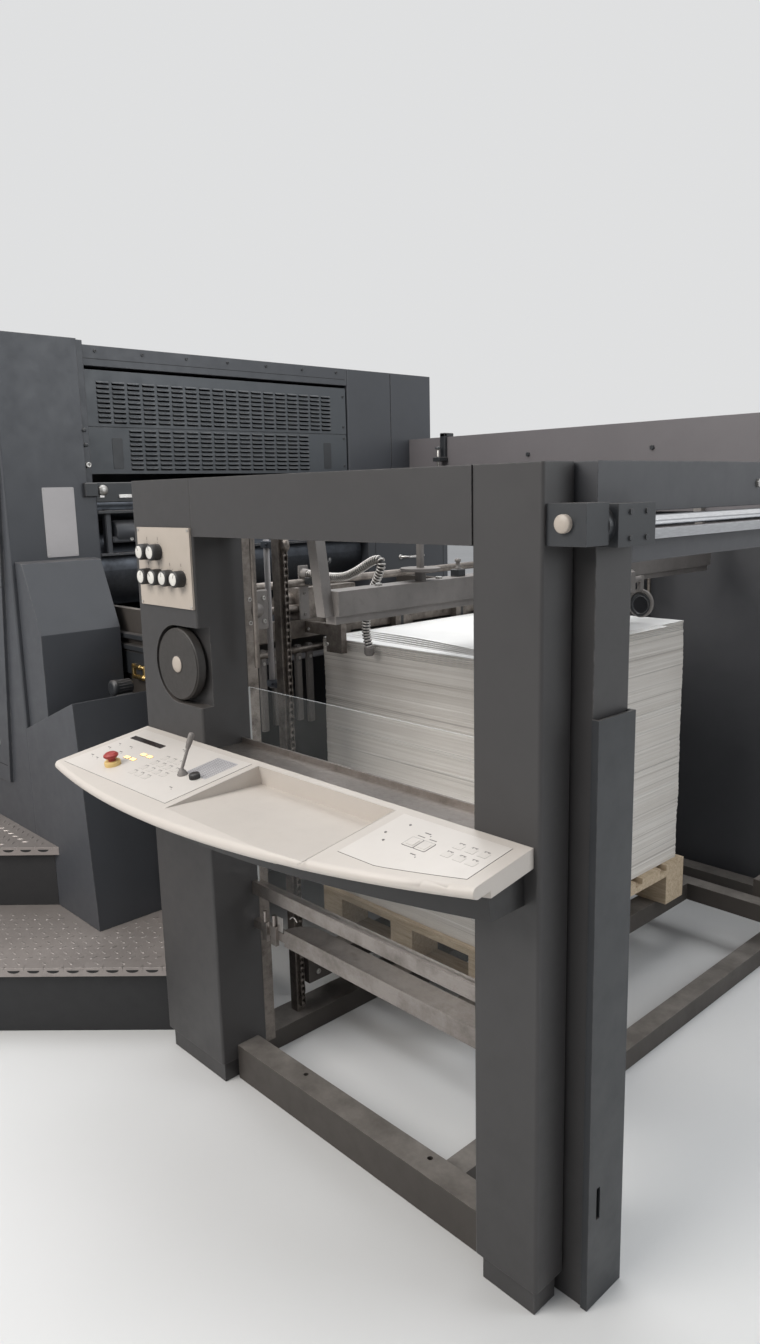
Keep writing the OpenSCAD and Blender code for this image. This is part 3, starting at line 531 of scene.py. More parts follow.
def desk_keys():
    marks_and_shade, caps, lit = parts(3, DESK)
    w, d = 20, 17  # a key pad

    def key(u, v):
        """A key pad with a darker rim of painted shade round it, and a short line of print above it."""
        marks_and_shade.pad(u, v, w + 0.4, d + 0.4, 2, 0.6, 0.9)
        caps.pad(u, v, w, d, 1.8, 0.8, 1.1)
        top = v + d / 2 + 3
        marks_and_shade.box((u - w * 0.36, top, 0.6), (u + w * 0.3, top + 1.4, 1))
        for s in (-0.36, 0.06 + 0.06 * rnd.random()):
            marks_and_shade.box((u + w * s, top - 3, 0.6), (u + w * s + 3.6, top - 1.2, 1))

    for row, v in enumerate((-112, -142.7, -173.4, -204.1)):
        for u in (276, 307, 338) + ((369,) if row in (1, 2) else ()):
            key(u, v)
    for u in (1219, 1249, 1278):
        for v in (-68, -101):
            key(u, v)
    for u in (1133, 1163):
        # dark frames of painted shade round the two big keys, for their recesses
        marks_and_shade.pad(u, -100, 30, 34, 3, 0.6, 1.2, 4)
        caps.pad(u, -100, 27.8, 31.8, 2.8, 0.8, 1.5, 4)
        caps.pad(u, -100, 19, 22, 3, 1.2, 2.2, 4)
        marks_and_shade.box((u - 10, -76, 0.6), (u + 8, -74.5, 1.2))
    for u, v, wide in ((57, -198, 14), (90, -202, 12), (52, -146, 15), (56, -117, 10), (116, -147, 14),
            (110, -114, 16), (454, -205, 12), (273, -54, 12), (1135, -60, 16), (1165, -133, 14)):
        marks_and_shade.pad(u, v, wide, 2.6, 1, 0.6, 1)
        marks_and_shade.pad(u + wide / 2 + 4, v - 6, 3, 3, 1.4, 0.6, 1)
    for u, v in ((1058, -98), (1077, -123), (1080, -52)):
        marks_and_shade.lathe((u, v, 0.6), PZ, [(2.8, 0), (2.8, 0.8)], 10)
    for u, v in ((171, -160), (200, -160), (199, -128), (228, -128)):
        # dark rims of painted shade round the lit keys
        marks_and_shade.pad(u, v, 21.6, 13.6, 2, 0.6, 1.5)
        lit.pad(u, v, 20, 11.5, 1.8, 0.8, 2.2)
    marks_and_shade.emit("key_marks_and_shade", "ink_and_shade")
    controls = caps.emit("key_caps", "key", slot="key_plastic")
    lit.emit("lit_keys", "lit")
    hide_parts("console_controls")


def microphone():
    """Leans on its ribbed neck."""
    foot, lean = Vector((414, -148, 0)), Vector((0.16, 0.42, 0.89)).normalized()
    mic, head, n = Part(DESK), Part(DESK), 96
    mic.lathe(foot, PZ, [(12.5, 0), (12.5, 4), (10.5, 6), (10.5, 9), (7, 12), (5.2, 16)], 28)
    mic.tube([foot + Vector((0, 0, 13)) + lean * (60 * i / n) for i in range(n + 1)],
        [3.8 + 0.5 * cos(i * pi / 2) for i in range(n + 1)], 12)
    mic.emit("microphone_neck", "cast")
    start = foot + Vector((0, 0, 14)) + lean * 52
    head.lathe(start, lean, [(4.2, 0), (5.6, 3), (6, 10), (7, 14), (7.2, 22), (7.2, 34), (6.2, 38.5), (3.6, 40)], 28)
    for i in range(7):
        head.lathe(start + lean * (15 + i * 2.6), lean, [(7.2, 0), (7.5, 0.6), (7.2, 1.2)], 28)
    head.emit("microphone_head", "cast")


def desk_details():
    panel("desk_panel_left", 26, 520, 22, 262)
    panel("desk_panel_right", 1034, 1306, 30, 200)
    desk_keys()
    Part(DESK).pad(123, -72, 156, 18, 1, 0.5, 1.8).emit("display_window", "display")
    Part(DESK).pad(449, -88, 86, 96, 3, 0.4, 1.1, 4).emit("speaker_patch", "grille")
    # speaker grille: dark discs of painted shade where it is pierced
    holes = Part(DESK)
    for i in range(-6, 7):
        for j in range(-7, 8):
            holes.lathe((449 + i * 6.2, -88 + j * 6, 0.9), PZ, [(1.2, 0), (1.2, 0.5)], 6, False)
    holes.emit("speaker_holes", "ink_and_shade")
    microphone()
    u, v = 465, -146  # small knob
    Part(DESK).lathe((u, v, 0), PZ, [(15, 0), (15, 1.5), (14, 2)], 28).emit("small_knob_ring", "white")
    k = Part(DESK).lathe((u, v, 1.5), PZ, [(12.6, 0), (12.4, 11), (11.2, 12.8), (4, 13)], 28)
    for c, s in circle(20, 1):
        k.rod((u + 12.4 * c, v + 12.4 * s, 2), (u + 12.2 * c, v + 12.2 * s, 12.5), 1, 6)
    k.emit("small_knob", "plastic")
    u, v = 181, -206  # stop button
    collar, ribs = parts(2, DESK)
    collar.lathe((u, v, 0), PZ, [(20.5, 0), (20.5, 9.6), (19.4, 11.8), (9.6, 12)], 36).emit("stop_collar", "yellow")
    for c, s in circle(30, 18):
        ribs.rod((u + c, v + s, 24.3), (u + c, v + s, 28.8), 0.7, 6)
    ribs.emit("stop_ribs", "red", "stop_button")
    edge = Part(DESK)  # lip of the sunk tray
    for a, b in (((543.5, -276), (545, -19.6)), ((1005, -276), (1006.5, -19.6)), ((543.5, -20), (1006.5, -18.5))):
        edge.box((*a, -0.2), (*b, 0.6), 0.3)
    edge.emit("tray_edge", "panel")


desk_details()


# ---- knob plate and hand wheel
def knobs():
    ticks, y = Part(), -1086.2
    for i, turn in enumerate((118, 100, 75, 130, 90, 60)):
        x, z = (76 + 53 * i, 1460) if i < 2 else (76 + 53 * (i - 2), 1396)
        grip = Part()
        line = Part(Matrix.Translation((x, y - 27.6, z)) @ Matrix.Rotation(radians(90 - turn), 4, "Y"))
        grip.lathe((x, y, z), NY, [(21.2, 0), (21.2, 3.5), (20.2, 5), (20.3, 24), (18.5, 26.2), (16.6, 26.6)], 40)
        for c, s in circle(36, 1):
            grip.rod((x + 20 * c, y - 6, z + 20 * s), (x + 19.8 * c, y - 24.5, z + 19.8 * s), 0.9, 6)
        body = f"knob_{i + 1}"
        grip.emit(f"knob_grip_{i + 1}", "plastic", body)
        face = Part().lathe((x, y - 26.2, z), NY, [(16, 0), (16, 0.6), (15.2, 1.3), (4, 1.5)], 36)
        face.emit(f"knob_face_{i + 1}", "white", body)
        line.box((-0.8, -0.4, 4), (0.8, 0.6, 14.5)).emit(f"knob_line_{i + 1}", "ink_and_shade", body)
        for k in range(11):
            ticks.m = Matrix.Translation((x, y, z)) @ Matrix.Rotation(radians(30 * k - 240), 4, "Y")
            ticks.box((23.5, -0.2, -0.4), (26, 0.4, 0.4))
        ticks.m = SAME
        ticks.box((x - 0.6, y - 0.2, z + 30), (x + 0.6, y + 0.4, z + 38))
    ticks.emit("knob_scales", "ink_and_shade")
    Part().bolts((33.5, 273.5), (-1086,), (1326.5, 1516.5), NY, 3.6, 1.8).emit("knob_plate_screws", "zinc")


def hand_wheel():
    x, y, z = 178, -1080, 1170
    cap = Part().lathe((x, y + 2, z), NY, [(21.5, 0), (21.5, 3.8), (19.5, 5.4), (6, 6)], 44)
    cap.emit("wheel_cap", "cream", "hand_wheel")
    bead = Part().lathe((x, y + 0.6, z), NY, [(24.5, 0), (24.5, 1.2), (22.8, 1.8), (21.6, 1.8)], 44)
    bead.tube([(x + c, y + 1.2, z + s) for c, s in circle(72, 90.6)], 1.7, 8, closed=True)
    bead.emit("wheel_rim_bead", "rubber", "hand_wheel")


knobs()
hand_wheel()


# ---- paper
PILE_TOP = 1165


def stack(node, top, width=None):
    """Lifts of sheets, a little out of square, thin and fanned out over the last 30 mm."""
    lo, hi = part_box(node)
    x0, x1, y0 = (lo.x - OX) / MM + 2, (hi.x - OX) / MM - 2, lo.y / MM + 2.5
    y1 = y0 + width if width else -y0
    p, z, dx, dy, fan = Part(), lo.z / MM, 0.0, 0.0, top - 30
    while z < top - 0.4:
        thin = z > fan
        h = 5.5 if thin else rnd.uniform(4, 11)
        h = fan - z + 0.4 if not thin and z + h > fan else min(h, top - z)
        dx = max(-1.2, min(1.2, dx + rnd.uniform(-0.6, 0.6)))
        dy = max(-1.5, min(1.5, dy + rnd.uniform(-0.7, 0.7)))
        jx, jy = dx + rnd.uniform(-0.6, 0.6), dy + rnd.uniform(-0.8, 0.8)
        gap = 1.6 if thin else 1.0 if rnd.random() < 0.09 else 0.0
        if thin:
            jy -= rnd.uniform(0, 3.5)
        p.box((x0 + jx, y0 + jy, z + gap), (x1 + jx, y1 + jy, z + h))
        if gap:
            deep = 12 if thin else 3
            p.box((x0 + deep, y0 + deep, z), (x1 - deep, y1 - deep, z + gap))
        z += h
    return p


def curls(p, x0, x1, y0, r, count):
    """Thin sheets that lie on the pile and lift in a wide curve towards the drive side."""
    n, drive_edge, lift = 26, 464.5, radians(17)
    for k in range(count):
        start = y0 + 12 * k
        a1 = min(asin(min(0.95, (drive_edge - start) / r)), lift - 0.004 * k)
        end = x1 - 9 * k - rnd.uniform(0, 4)

        def at(i, j):
            a = a1 * j / n
            return end if i else x0 + 2 * k, start + r * sin(a), PILE_TOP + r * (1 - cos(a)) + 0.3 * k

        p.sheet(at, 1, n, 0.6)


def loose(p):
    """Top sheets slid out of square, their near edges curved and lifted so that dark gaps show."""
    nx, ny = 22, 10
    for k in range(5):
        def at(i, j):
            x = 136 + 4 * k + (660 - 12 * k) * i / nx
            y = -479 + 4 * k + (26 + 15 * k) * max(0.0, (800 - x) / 660) ** 1.5
            q = (j / ny) ** 1.6
            lift = (0.6 + 3 * k) * (0.35 + 0.65 * sin(pi * i / nx)) * max(0.0, 1 - q * 3)
            return x, y + (300 - y) * q, PILE_TOP + 0.4 + 0.5 * k + lift

        p.sheet(at, nx, ny, 0.5)


def paper():
    p = stack("paper_pile", PILE_TOP, 970)
    curls(p, 124, 529, 130, 1150, 7)
    curls(p, 126, 478, 220, 700, 6)
    loose(p)
    o = p.emit("paper_sheets", "paper", "pile_hoist", slot="paper")
    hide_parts("paper_pile")
    lo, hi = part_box("delivery_pile")
    o = stack("delivery_pile", hi.z / MM).emit("delivered_sheets", "paper", slot="paper")
    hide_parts("delivery_pile")


paper()


# ---- ribbed air hose
def spline(pts, n):
    """Points along a smooth curve through pts."""
    q = [Vector(p) for p in pts]
    q = [q[0] * 2 - q[1]] + q + [q[-1] * 2 - q[-2]]
    out = []
    for i in range(1, len(q) - 2):
        a, b, c, d = q[i - 1:i + 3]
        for k in range(n):
            t = k / n
            out.append(0.5 * ((2 * b) + (c - a) * t + (2 * a - 5 * b + 4 * c - d) * t * t
                + (3 * b - a - 3 * c + d) * t ** 3))
    return out + [q[-2]]


def air_hose():
    y = -545
    way = ((56, 1360), (235, 1360), (368, 1412), (394, 1396), (358, 1330), (333, 1270), (326, 1208), (337, 1158))
    fine = spline([(x, y, z) for x, z in way], 60)
    pts, left, pitch = [fine[0]], 0.0, 1.1
    for a, b in zip(fine, fine[1:]):
        d = (b - a).length
        while left + d >= pitch:
            a = a + (b - a) * ((pitch - left) / d)
            d = (b - a).length
            left = 0.0
            pts.append(a)
        left += d
    Part().tube(pts[::4], 9.2, 12).emit("hose_core", "plastic")
    ribs, e = Part(), Vector(PY)
    for i in range(4, len(pts) - 3, 8):
        f = (pts[i + 1] - pts[i - 1]).normalized().cross(e).normalized()
        ribs.tube([pts[i] + e * c + f * s for c, s in circle(18, 10.5)], 2.8, 6, closed=True)
    hose = ribs.emit("hose_ribs", "hose", slot="hose_metal")
    f = Part().box((43, -563, 1220), (50, -527, 1385), 1.2)
    f.lathe((49, y, 1360), PX, [(16.5, 0), (16.5, 6), (15, 8), (15, 22), (14.2, 26)])
    f.hexnut((50, y, 1360), PX, 16.5, 8).bolts((50,), (y,), (1236, 1300), PX, 5, 3)
    f.lathe((337, y, 1163.5), NZ, [(14.2, 0), (14.8, 2), (14.8, 20), (9.5, 26)])
    f.lathe((337, y, 1161.5), NZ, [(14.8, 0), (15.6, 1), (15.6, 4), (14.8, 5)])
    f.emit("hose_fittings", "cast")
    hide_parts("air_hose")


air_hose()


# ---- lifting chains and feeder details
def chains():
    """Roller chain up each guide; the link plates lie in turn inside and outside."""
    p, links, rods, clamps = parts(4)
    pitch, y = 19, -750
    ends = ([(i * pi / 4, pitch) for i in range(5)] + [(pi, pitch)] + [(pi + i * pi / 4, 0) for i in range(1, 5)])
    n = len(ends)
    for m in (SAME, MIRROR):
        place(m, p, links, rods, clamps)
        for gx in (200, 1000):
            x = gx + 22.2
            for k, z in enumerate(range(85, 1455, pitch)):
                p.rod((x, y - 5.2, z), (x, y + 5.2, z), 5, 8)
                w = 4.2 if k % 2 else 6
                for s in (-1, 1):
                    wall = sorted((y + s * w, y + s * (w + 1.4)))
                    links.add([(x + 6.6 * cos(t), v, z + 6.6 * sin(t) + up) for v in wall for t, up in ends],
                        [tuple(range(n)), tuple(range(n, 2 * n))[::-1]]
                        + [(i, n + i, n + (i + 1) % n, (i + 1) % n) for i in range(n)])
            p.lathe((x, y + 8, 1462), NY, [(12, 0), (12, 3), (22, 4), (22, 12), (12, 13), (12, 16)], 20)
            links.bolts((gx - 15,), (y,), (300, 750, 1200), NX, 6, 4)
        rods.rod((142, y, 1050), (142, y, 1475), 8.5, 18)
        for z in (1064, 1462):
            clamps.box((130, -762, z - 10), (187, -738, z + 10), 2).bolt((158, -762, z), NY, 4.5, 3)
    p.emit("chain_rollers", "oiled")
    links.emit("chain_links", "oiled")
    rods.emit("guide_rods", "label")
    clamps.emit("guide_rod_clamps", "roller")


def feeder_details():
    dark, cast, bright, bolts = parts(4)
    for m in (SAME, MIRROR):
        place(m, dark, cast, bright, bolts)
        # gear case plate, bars and blocks inside the window
        dark.box((232, -930, 1235), (262, -905, 1365), 3)
        cast.box((262, -926, 1245), (276, -850, 1352), 4)
        bolts.bolts((276,), (-912, -866), (1268, 1330), PX, 6, 4)
        cast.lathe((276, -889, 1299), PX, [(19, 0), (19, 6), (13, 8), (13, 14), (4, 15)])
        # head: blocks, pins, valve bodies and springs on the cross beam
        x = 586
        for y in (-440, -270):
            dark.box((x - 14, y - 16, 1370), (x + 14, y + 16, 1390), 2)
            cast.lathe((x, y, 1390), PZ, [(8, 0), (8, 4), (5.5, 6), (5.5, 18), (8.5, 20), (8.5, 26), (3, 28)], 18)
        bolts.bolts((590,), (-740, -520, -360), (1370,), PZ, 9, 6)
        for y in (-170, -57):
            spring = [(680 + 12.5 * cos(t * 0.9), y + 12.5 * sin(t * 0.9), 1196 + 1.6 * t) for t in range(46)]
            bright.tube(spring, 1.4, 6)
            dark.lathe((680, y, 1404), PZ, [(18.5, 0), (18.5, 4), (17.5, 5), (17.5, 6)])
        dark.tube([(700 + c, -300, 1227.5 + s) for c, s in circle(32, 33.6)], 6.6, closed=True)
        bolts.bolts((790,), (-85, -35), (1300, 1345), PX, 6, 4)
        bright.rod((735, -186, 1338), (735, -150, 1338), 12, 18)
        # fingers that hang from the lower front rod
        for k in range(5):
            y = -700 + 45 * k
            cast.box((22, y - 11, 890 + 12 * (k % 2)), (38, y + 11, 1142), 3)
            bolts.bolt((38, y, 1100), PX, 5, 3)
        # bolts of the pile carrier's shoes, screws and slots of the front stops
        bolts.bolts((240, 1040), (-700,), (178, 242), PX, 8, 5)
        for y in (-430, -150):
            bolts.bolts((74,), (y,), (1085, 1255), PX, 5.5, 3)
            # the front stops' slots: black strips of painted shade
            dark.box((73.8, y - 6, 1150), (74.6, y + 6, 1225))
    place(SAME, dark, cast, bright, bolts)
    # operator side corner over the pile
    dark.box((104, -930, 1440), (136, -896, 1475), 4)
    dark.lathe((120, -913, 1475), PZ, [(14, 0), (14, 14), (10, 20), (4, 21)], 18)
    dark.box((75, -564, 1330), (100, -500, 1352), 2)
    dark.tube([(86, -520, 1352 + 2 * k) for k in range(3)]
        + [(86 + 14 * k / 6 + 6 * sin(k + 3), -520 + 2 * k, 1358 + 10 * k / 3) for k in range(15)], 4.5)
    cast.lathe((185, -573.5, 1270), NY, [(16, 0), (16, 4), (8, 6), (3, 6)], 20)
    bolts.bolt((185, -573, 1160), NY, 6, 4)
    bolts.bolt((100, -573, 1197), NY, 5, 3)
    # ledge clip, with a bright wire
    bright.box((384, -955.2, 452), (415, -953, 494), 0.8)
    bright.tube([(452 + 6 * k, -957, 505 + 10 * sin(k * pi / 5)) for k in range(6)], 1.6, 8)
    # rear corner: pale pin, curved shield
    Part().lathe((1385, -1069, 1542), NY, [(15.5, 0), (15.5, 9), (14, 10.6), (3, 11)], 28).emit("pivot_pin", "cream")

    def shield(i, j):
        a, out = radians(10 * j - 70), 36 if i else 33.5
        return 1418 + (out - 30) * cos(a) * 0.9, -1039.5 + 0.1 * j + out * sin(a) * 0.72, 1509

    dark.sheet(shield, 1, 14, 58)
    # clamps and nuts on the far beam
    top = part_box("drive_beams")[1].z / MM
    for x, z, w in ((-1040, 1800, 22), (-720, 1790, 26)):
        dark.box((x - w * 0.6, 912, z - 60), (x + w * 0.6, 930.5, top + 16), 3)
        dark.box((x - w * 0.6, 912, top), (x + w * 0.6, 975, top + 18), 3)
        dark.box((x - w * 0.8, 868, z - 60), (x + w * 0.8, 930, z - 40), 3)
        bolts.rod((x, 884, z - 85), (x, 884, z - 4), 6, 12)
        dark.lathe((x, 884, z - 4), PZ, [(13, 0), (13, 8), (10, 10)], 16)
    for x in (-240, 350, 950):
        dark.hexnut((x, 930, 1742), NY, 10, 7)
    dark.emit("feeder_blocks", "black")
    cast.emit("feeder_castings", "cast")
    bright.emit("feeder_bright_parts", "steel")
    bolts.emit("feeder_bolts", "zinc")


chains()
feeder_details()


# ---- printing units
def unit_details():
    seam, bolts, bright, dark, plate = parts(5)
    near, far, front, head = -1092, 1080, -840, -950  # operator side, drive side, drive cover, head cover
    for u in UNITS:
        shift = Matrix.Translation((u, 0, 0))
        place(shift, bolts, bright, dark, plate)
        # operator side panel: outline, cross seam, hinges, handles and locks
        seam.seams(shift @ face_y(near - 0.2), ((660, -1640, -1010), (2050, -1640, -880), (1310, -1640, -900)),
            ((-1640, 660, 2050), (-882.5, 1312.5, 2050)))
        hinges(bolts, -1660, near - 2.5, (780, 1200, 1420, 1940))
        for x, z in ((-945, 1560), (-1060, 960)):
            handle(bright, (x, near, z), NY, PZ, 150, 32)
        for x, z in ((-915, 1960), (-915, 1390), (-1030, 1180), (-1070, 740)):
            bolts.lathe((x, near, z), NY, [(14, 0), (14, 2), (11, 4), (2.2, 4)])
            dark.box((x - 8, near - 4.8, z - 1.2), (x + 8, near - 3.8, z + 1.2))
        # drive side panels
        seam.seams(shift @ face_y(far + 0.2, 1), [(z, -1700, -990) for z in (560, 2070, 1330)],
            [(x, 560, 2070) for x in (-1700, -992.5, -1366)])
        for x in (-1710, -980):
            hinges(bolts, x, far + 2, (700, 1200, 1450, 1960))
        for x in (-1405, -1325):
            for z in (1000, 1700):
                handle(bright, (x, far, z), PY, PZ, 150, 32)
        # front of the drive cover, and bolts along the head cover
        seam.seams(shift @ face_x(front + 0.2), ((1020, 560, 1060),), ((590, 200, 1620), (1040, 200, 1620)))
        bolts.bolts((front,), (600, 1030), (260, 980, 1060, 1580), PX, 8, 4)
        handle(bright, (front, 820, 1300), PX, PY, 140, 30)
        dark.bolts((head,), range(-660, 481, 190), (2118,), PX, 6, 3.5)
        seam.seams(shift @ face_x(head + 0.2), ((2090.5, -740, 530),), w=1.5)
        # top: lifting eyes
        for y in (-915, 810):
            for x in (-1620, -1080):
                bright.lathe((x, y, 2136.5), PZ, [(22, 0), (22, 0.4)], 20)
        # recess: cross bar, rounded cover, ledge and small switches under the guard
        dark.box((-880, -749.5, 1585), (-850, 547.5, 1655), 3)
        dark.box((-890, -749.5, 1545), (-842, 547.5, 1556), 2)
        plate.lathe((-885, -676, 1480), PY, [(34, 0), (40, 6), (40, 146), (34, 152)], 26)
        plate.box((-900, -690, 1440), (-858, -510, 1462), 4)
        plate.box((-895, -749.5, 1395), (-842, 547.5, 1404), 2)
        for y in (-700, -500, 300):
            plate.box((-892, y - 12, 1395), (-866, y + 12, 1560), 3)
        bolts.bolt((-858, -618, 1451), PX, 7, 5)
        bolts.lathe((-850, -722, 1628), PX, [(19, 0), (19, 5), (14, 11), (4, 12)])
        bright.box((-850, -661, 1600), (-846, -610, 1612), 1)
        bright.box((-850, -736, 1602), (-846, -718, 1612), 1)
        bolts.bolts((-850,), range(-520, 471, 90), (1620,), PX, 5, 3)
    # details of the first unit's side cover, as photographed
    place(SAME, bolts, dark)
    dark.box((-865, -800, 1606), (-824, -750.5, 1654), 3)
    for y, z in ((-780, 1833), (-777, 1783)):
        dark.lathe((-865, y, z), PX, [(7, 0), (7, 30), (5, 33), (2, 33)], 20)
    bolts.lathe((-865, -772, 1715), PX, [(10, 0), (10, 26), (8.5, 29), (5, 29), (5, 22), (2, 22)])
    seam.emit("panel_seams", "seam")
    bolts.emit("unit_fasteners", "zinc")
    bright.emit("unit_handles", "steel")
    dark.emit("unit_dark_parts", "black")
    plate.emit("unit_recess_covers", "unit")
    Part(face_x(front)).pad(-893, 1522, 114, 236, 4, 0, 1.6, 4).emit("pale_plate", "label")
    Part().bolts((-838.6,), (-942, -844), (1412, 1632), PX, 3.2, 1.6).emit("pale_plate_screws", "zinc")


def pedestal_details():
    """Motor on the pedestal, bars and brass fittings on the feed board's side plate."""
    x, z, wall = -560, 975, -744.8
    m = Part().lathe((x, -897, z), PY, [(18, 0), (25, 3), (27, 6), (27, 18), (24.5, 19), (24.5, 68), (21, 74),
        (9, 75)], 28)
    for c, s in circle(16, 24.7):
        m.rod((x + c, -877, z + s), (x + c, -830, z + s), 1.2, 6)
    m.box((-586, -890, 915), (-534, -825, 955), 4).emit("small_motor", "black")
    b = Part()
    for z in (1130, 1090):
        b.box((-830, -768, z - 12), (-560, wall, z + 8), 3)
    b.box((-800, -760, 990), (-548, wall, 1075), 4).emit("side_bars", "black")
    f, y = Part(), -766
    for x0, x1, z, r, nut, nut_r in ((-644, -565, 1024, 6, -600, 9), (-636, -554, 989, 8, -576, 11.5)):
        f.rod((x0, y, z), (x1, y, z), r).hexnut((nut, y, z), PX, nut_r, 12)
    for x in (-640, -566):
        f.box((x - 6, -770, 980), (x + 6, wall, 1032), 2)
    f.emit("brass_fittings", "brass")


def louvre_lips():
    """A pressed lip over each louvre slot, and the guard's plates and bolts."""
    x, z0, pitch, width = -950, 1687, 62, 50
    for g, u in enumerate(UNITS):
        p, h, body = Part(Matrix.Translation((u, 0, 0))), Part(), f"guard_{g + 1}"
        for y0, y1, zb in ((-665, 495, z0 + 180), (-545, 375, z0 + 12)):
            for r in range(9):
                for y in range(y0, y1 - pitch + 1, pitch):
                    z = zb + r * 17 + 9
                    p.add([(x + out, e + s * t, z + up) for e, s in ((y - 0.8, 1), (y + width + 0.8, -1))
                        for out, t, up in ((-0.2, 0, 0), (3.6, 2, -1.2), (4.4, 4, -3.8), (-0.2, 0, 3.6))],
                        [(0, 3, 2, 1), (4, 5, 6, 7), (0, 1, 5, 4), (1, 2, 6, 5), (2, 3, 7, 6), (0, 4, 7, 3)])
        p.emit(f"louvre_lips_{g + 1}", "guard", body)
        h.m = p.m @ face_x(x - 1.5)
        for y in (-597, 417):
            h.pad(y, z0 + 74, 42, 112, 6, 1.4, 2.4, 4)
        h.m = p.m
        h.bolts((x,), (-725, 515), (1717, 1837, 1887, 2017), PX, 5.5, 3)
        h.emit(f"guard_fittings_{g + 1}", "black", body)


unit_details()
pedestal_details()
louvre_lips()


# ---- treads
LOWER = ((0, -1009), (0, -770), (-404, -770), (-404, -1080), (-665, -1080), (-1335, -1750), (-741, -1750))
DECK = ((-665, -1080), (-3240, -1080), (-3240, -1750), (-1335, -1750))
LOW_Z, DECK_Z = 220, 440


def inside(x, y, outline):
    """Whether a lug about (x, y) lies within an outline, all in metres."""
    poly = [(a / 1000, b / 1000) for a, b in outline]
    for px, py in [(x + i * 0.02, y + j * 0.02) for i in (-1, 1) for j in (-1, 1)]:
        c = False
        for (x0, y0), (x1, y1) in zip(poly, poly[-1:] + poly[:-1]):
            if (y0 > py) != (y1 > py) and px < (x1 - x0) * (py - y0) / (y1 - y0) + x0:
                c = not c
        if not c:
            return False
    return True


def edge_frame(a, b, z):
    """Drawing X runs from a to b, drawing Y is up, drawing Z looks out to the right of that line."""
    d = (Vector((*b, 0)) - Vector((*a, 0))).normalized()
    n = d.cross(Vector(PZ))
    return Matrix(((d.x, 0, n.x, a[0]), (d.y, 0, n.y, a[1]), (0, 1, 0, z), (0, 0, 0, 1)))


def treads():
    lugs, dark, lips = parts(3)
    d, tick = sqrt(0.5), 60
    step, row = 0.04, 0.034  # between beads, in metres
    form = ((-13, 0), (-8, -2.6), (8, -2.6), (13, 0), (8, 2.6), (-8, 2.6))

    def lug(x, y, z, a):
        """A raised bead about (x, y), which are in metres."""
        c, s = cos(a), sin(a)
        lugs.add([(x / MM + (u * c - v * s) * k, y / MM + (u * s + v * c) * k, z + up)
            for k, up in ((1, 0), (0.72, 1.3)) for u, v in form],
            [(6, 7, 8, 9, 10, 11)] + bands(6, 1))

    for m in (SAME, MIRROR):
        lugs.m = m
        for s in range(-40, 41):
            for t in range(-6, 22):
                u, v = s * step + (step / 2 if t % 2 else 0.0), t * row
                x, y = 0.0 - u * d - v * d - 0.02, -1.009 - u * d + v * d + 0.02
                if inside(x, y, LOWER):
                    lug(x, y, LOW_Z, pi / 2 if t % 2 else 0.0)
        for i in range(66):
            for j in range(20):
                x, y = -0.7 - i * step - (step / 2 if j % 2 else 0.0), -1.105 - j * row
                if inside(x, y, DECK):
                    lug(x, y, DECK_Z, pi / 4 if j % 2 else -pi / 4)
        for a, b, z in ((LOWER[6], LOWER[0], LOW_Z), (DECK[3], DECK[0], DECK_Z), (DECK[3], LOWER[6], LOW_Z),
                (DECK[2], DECK[3], DECK_Z)):
            place(m @ edge_frame(a, b, z), dark, lips)
            length = (Vector(b) - Vector(a)).length
            n = int(length / tick)
            for k in range(n):
                x = (length - n * tick) / 2 + tick / 2 + k * tick
                # half ellipses of painted shade for the slots in the lip
                dark.prism([(x + 19 * cos(pi + t * pi / 8), -8.5 + 8.5 * sin(pi + t * pi / 8)) for t in range(9)],
                    -0.5, 0.5)
                lips.box((x + 28.5, -8.5, -12), (x + 31.5, 0.8, 0.8), 0.4)
    lugs.emit("tread_lugs", "lug")
    dark.emit("tread_slots", "seam")
    lips.emit("tread_lip_ticks", "lug")


treads()


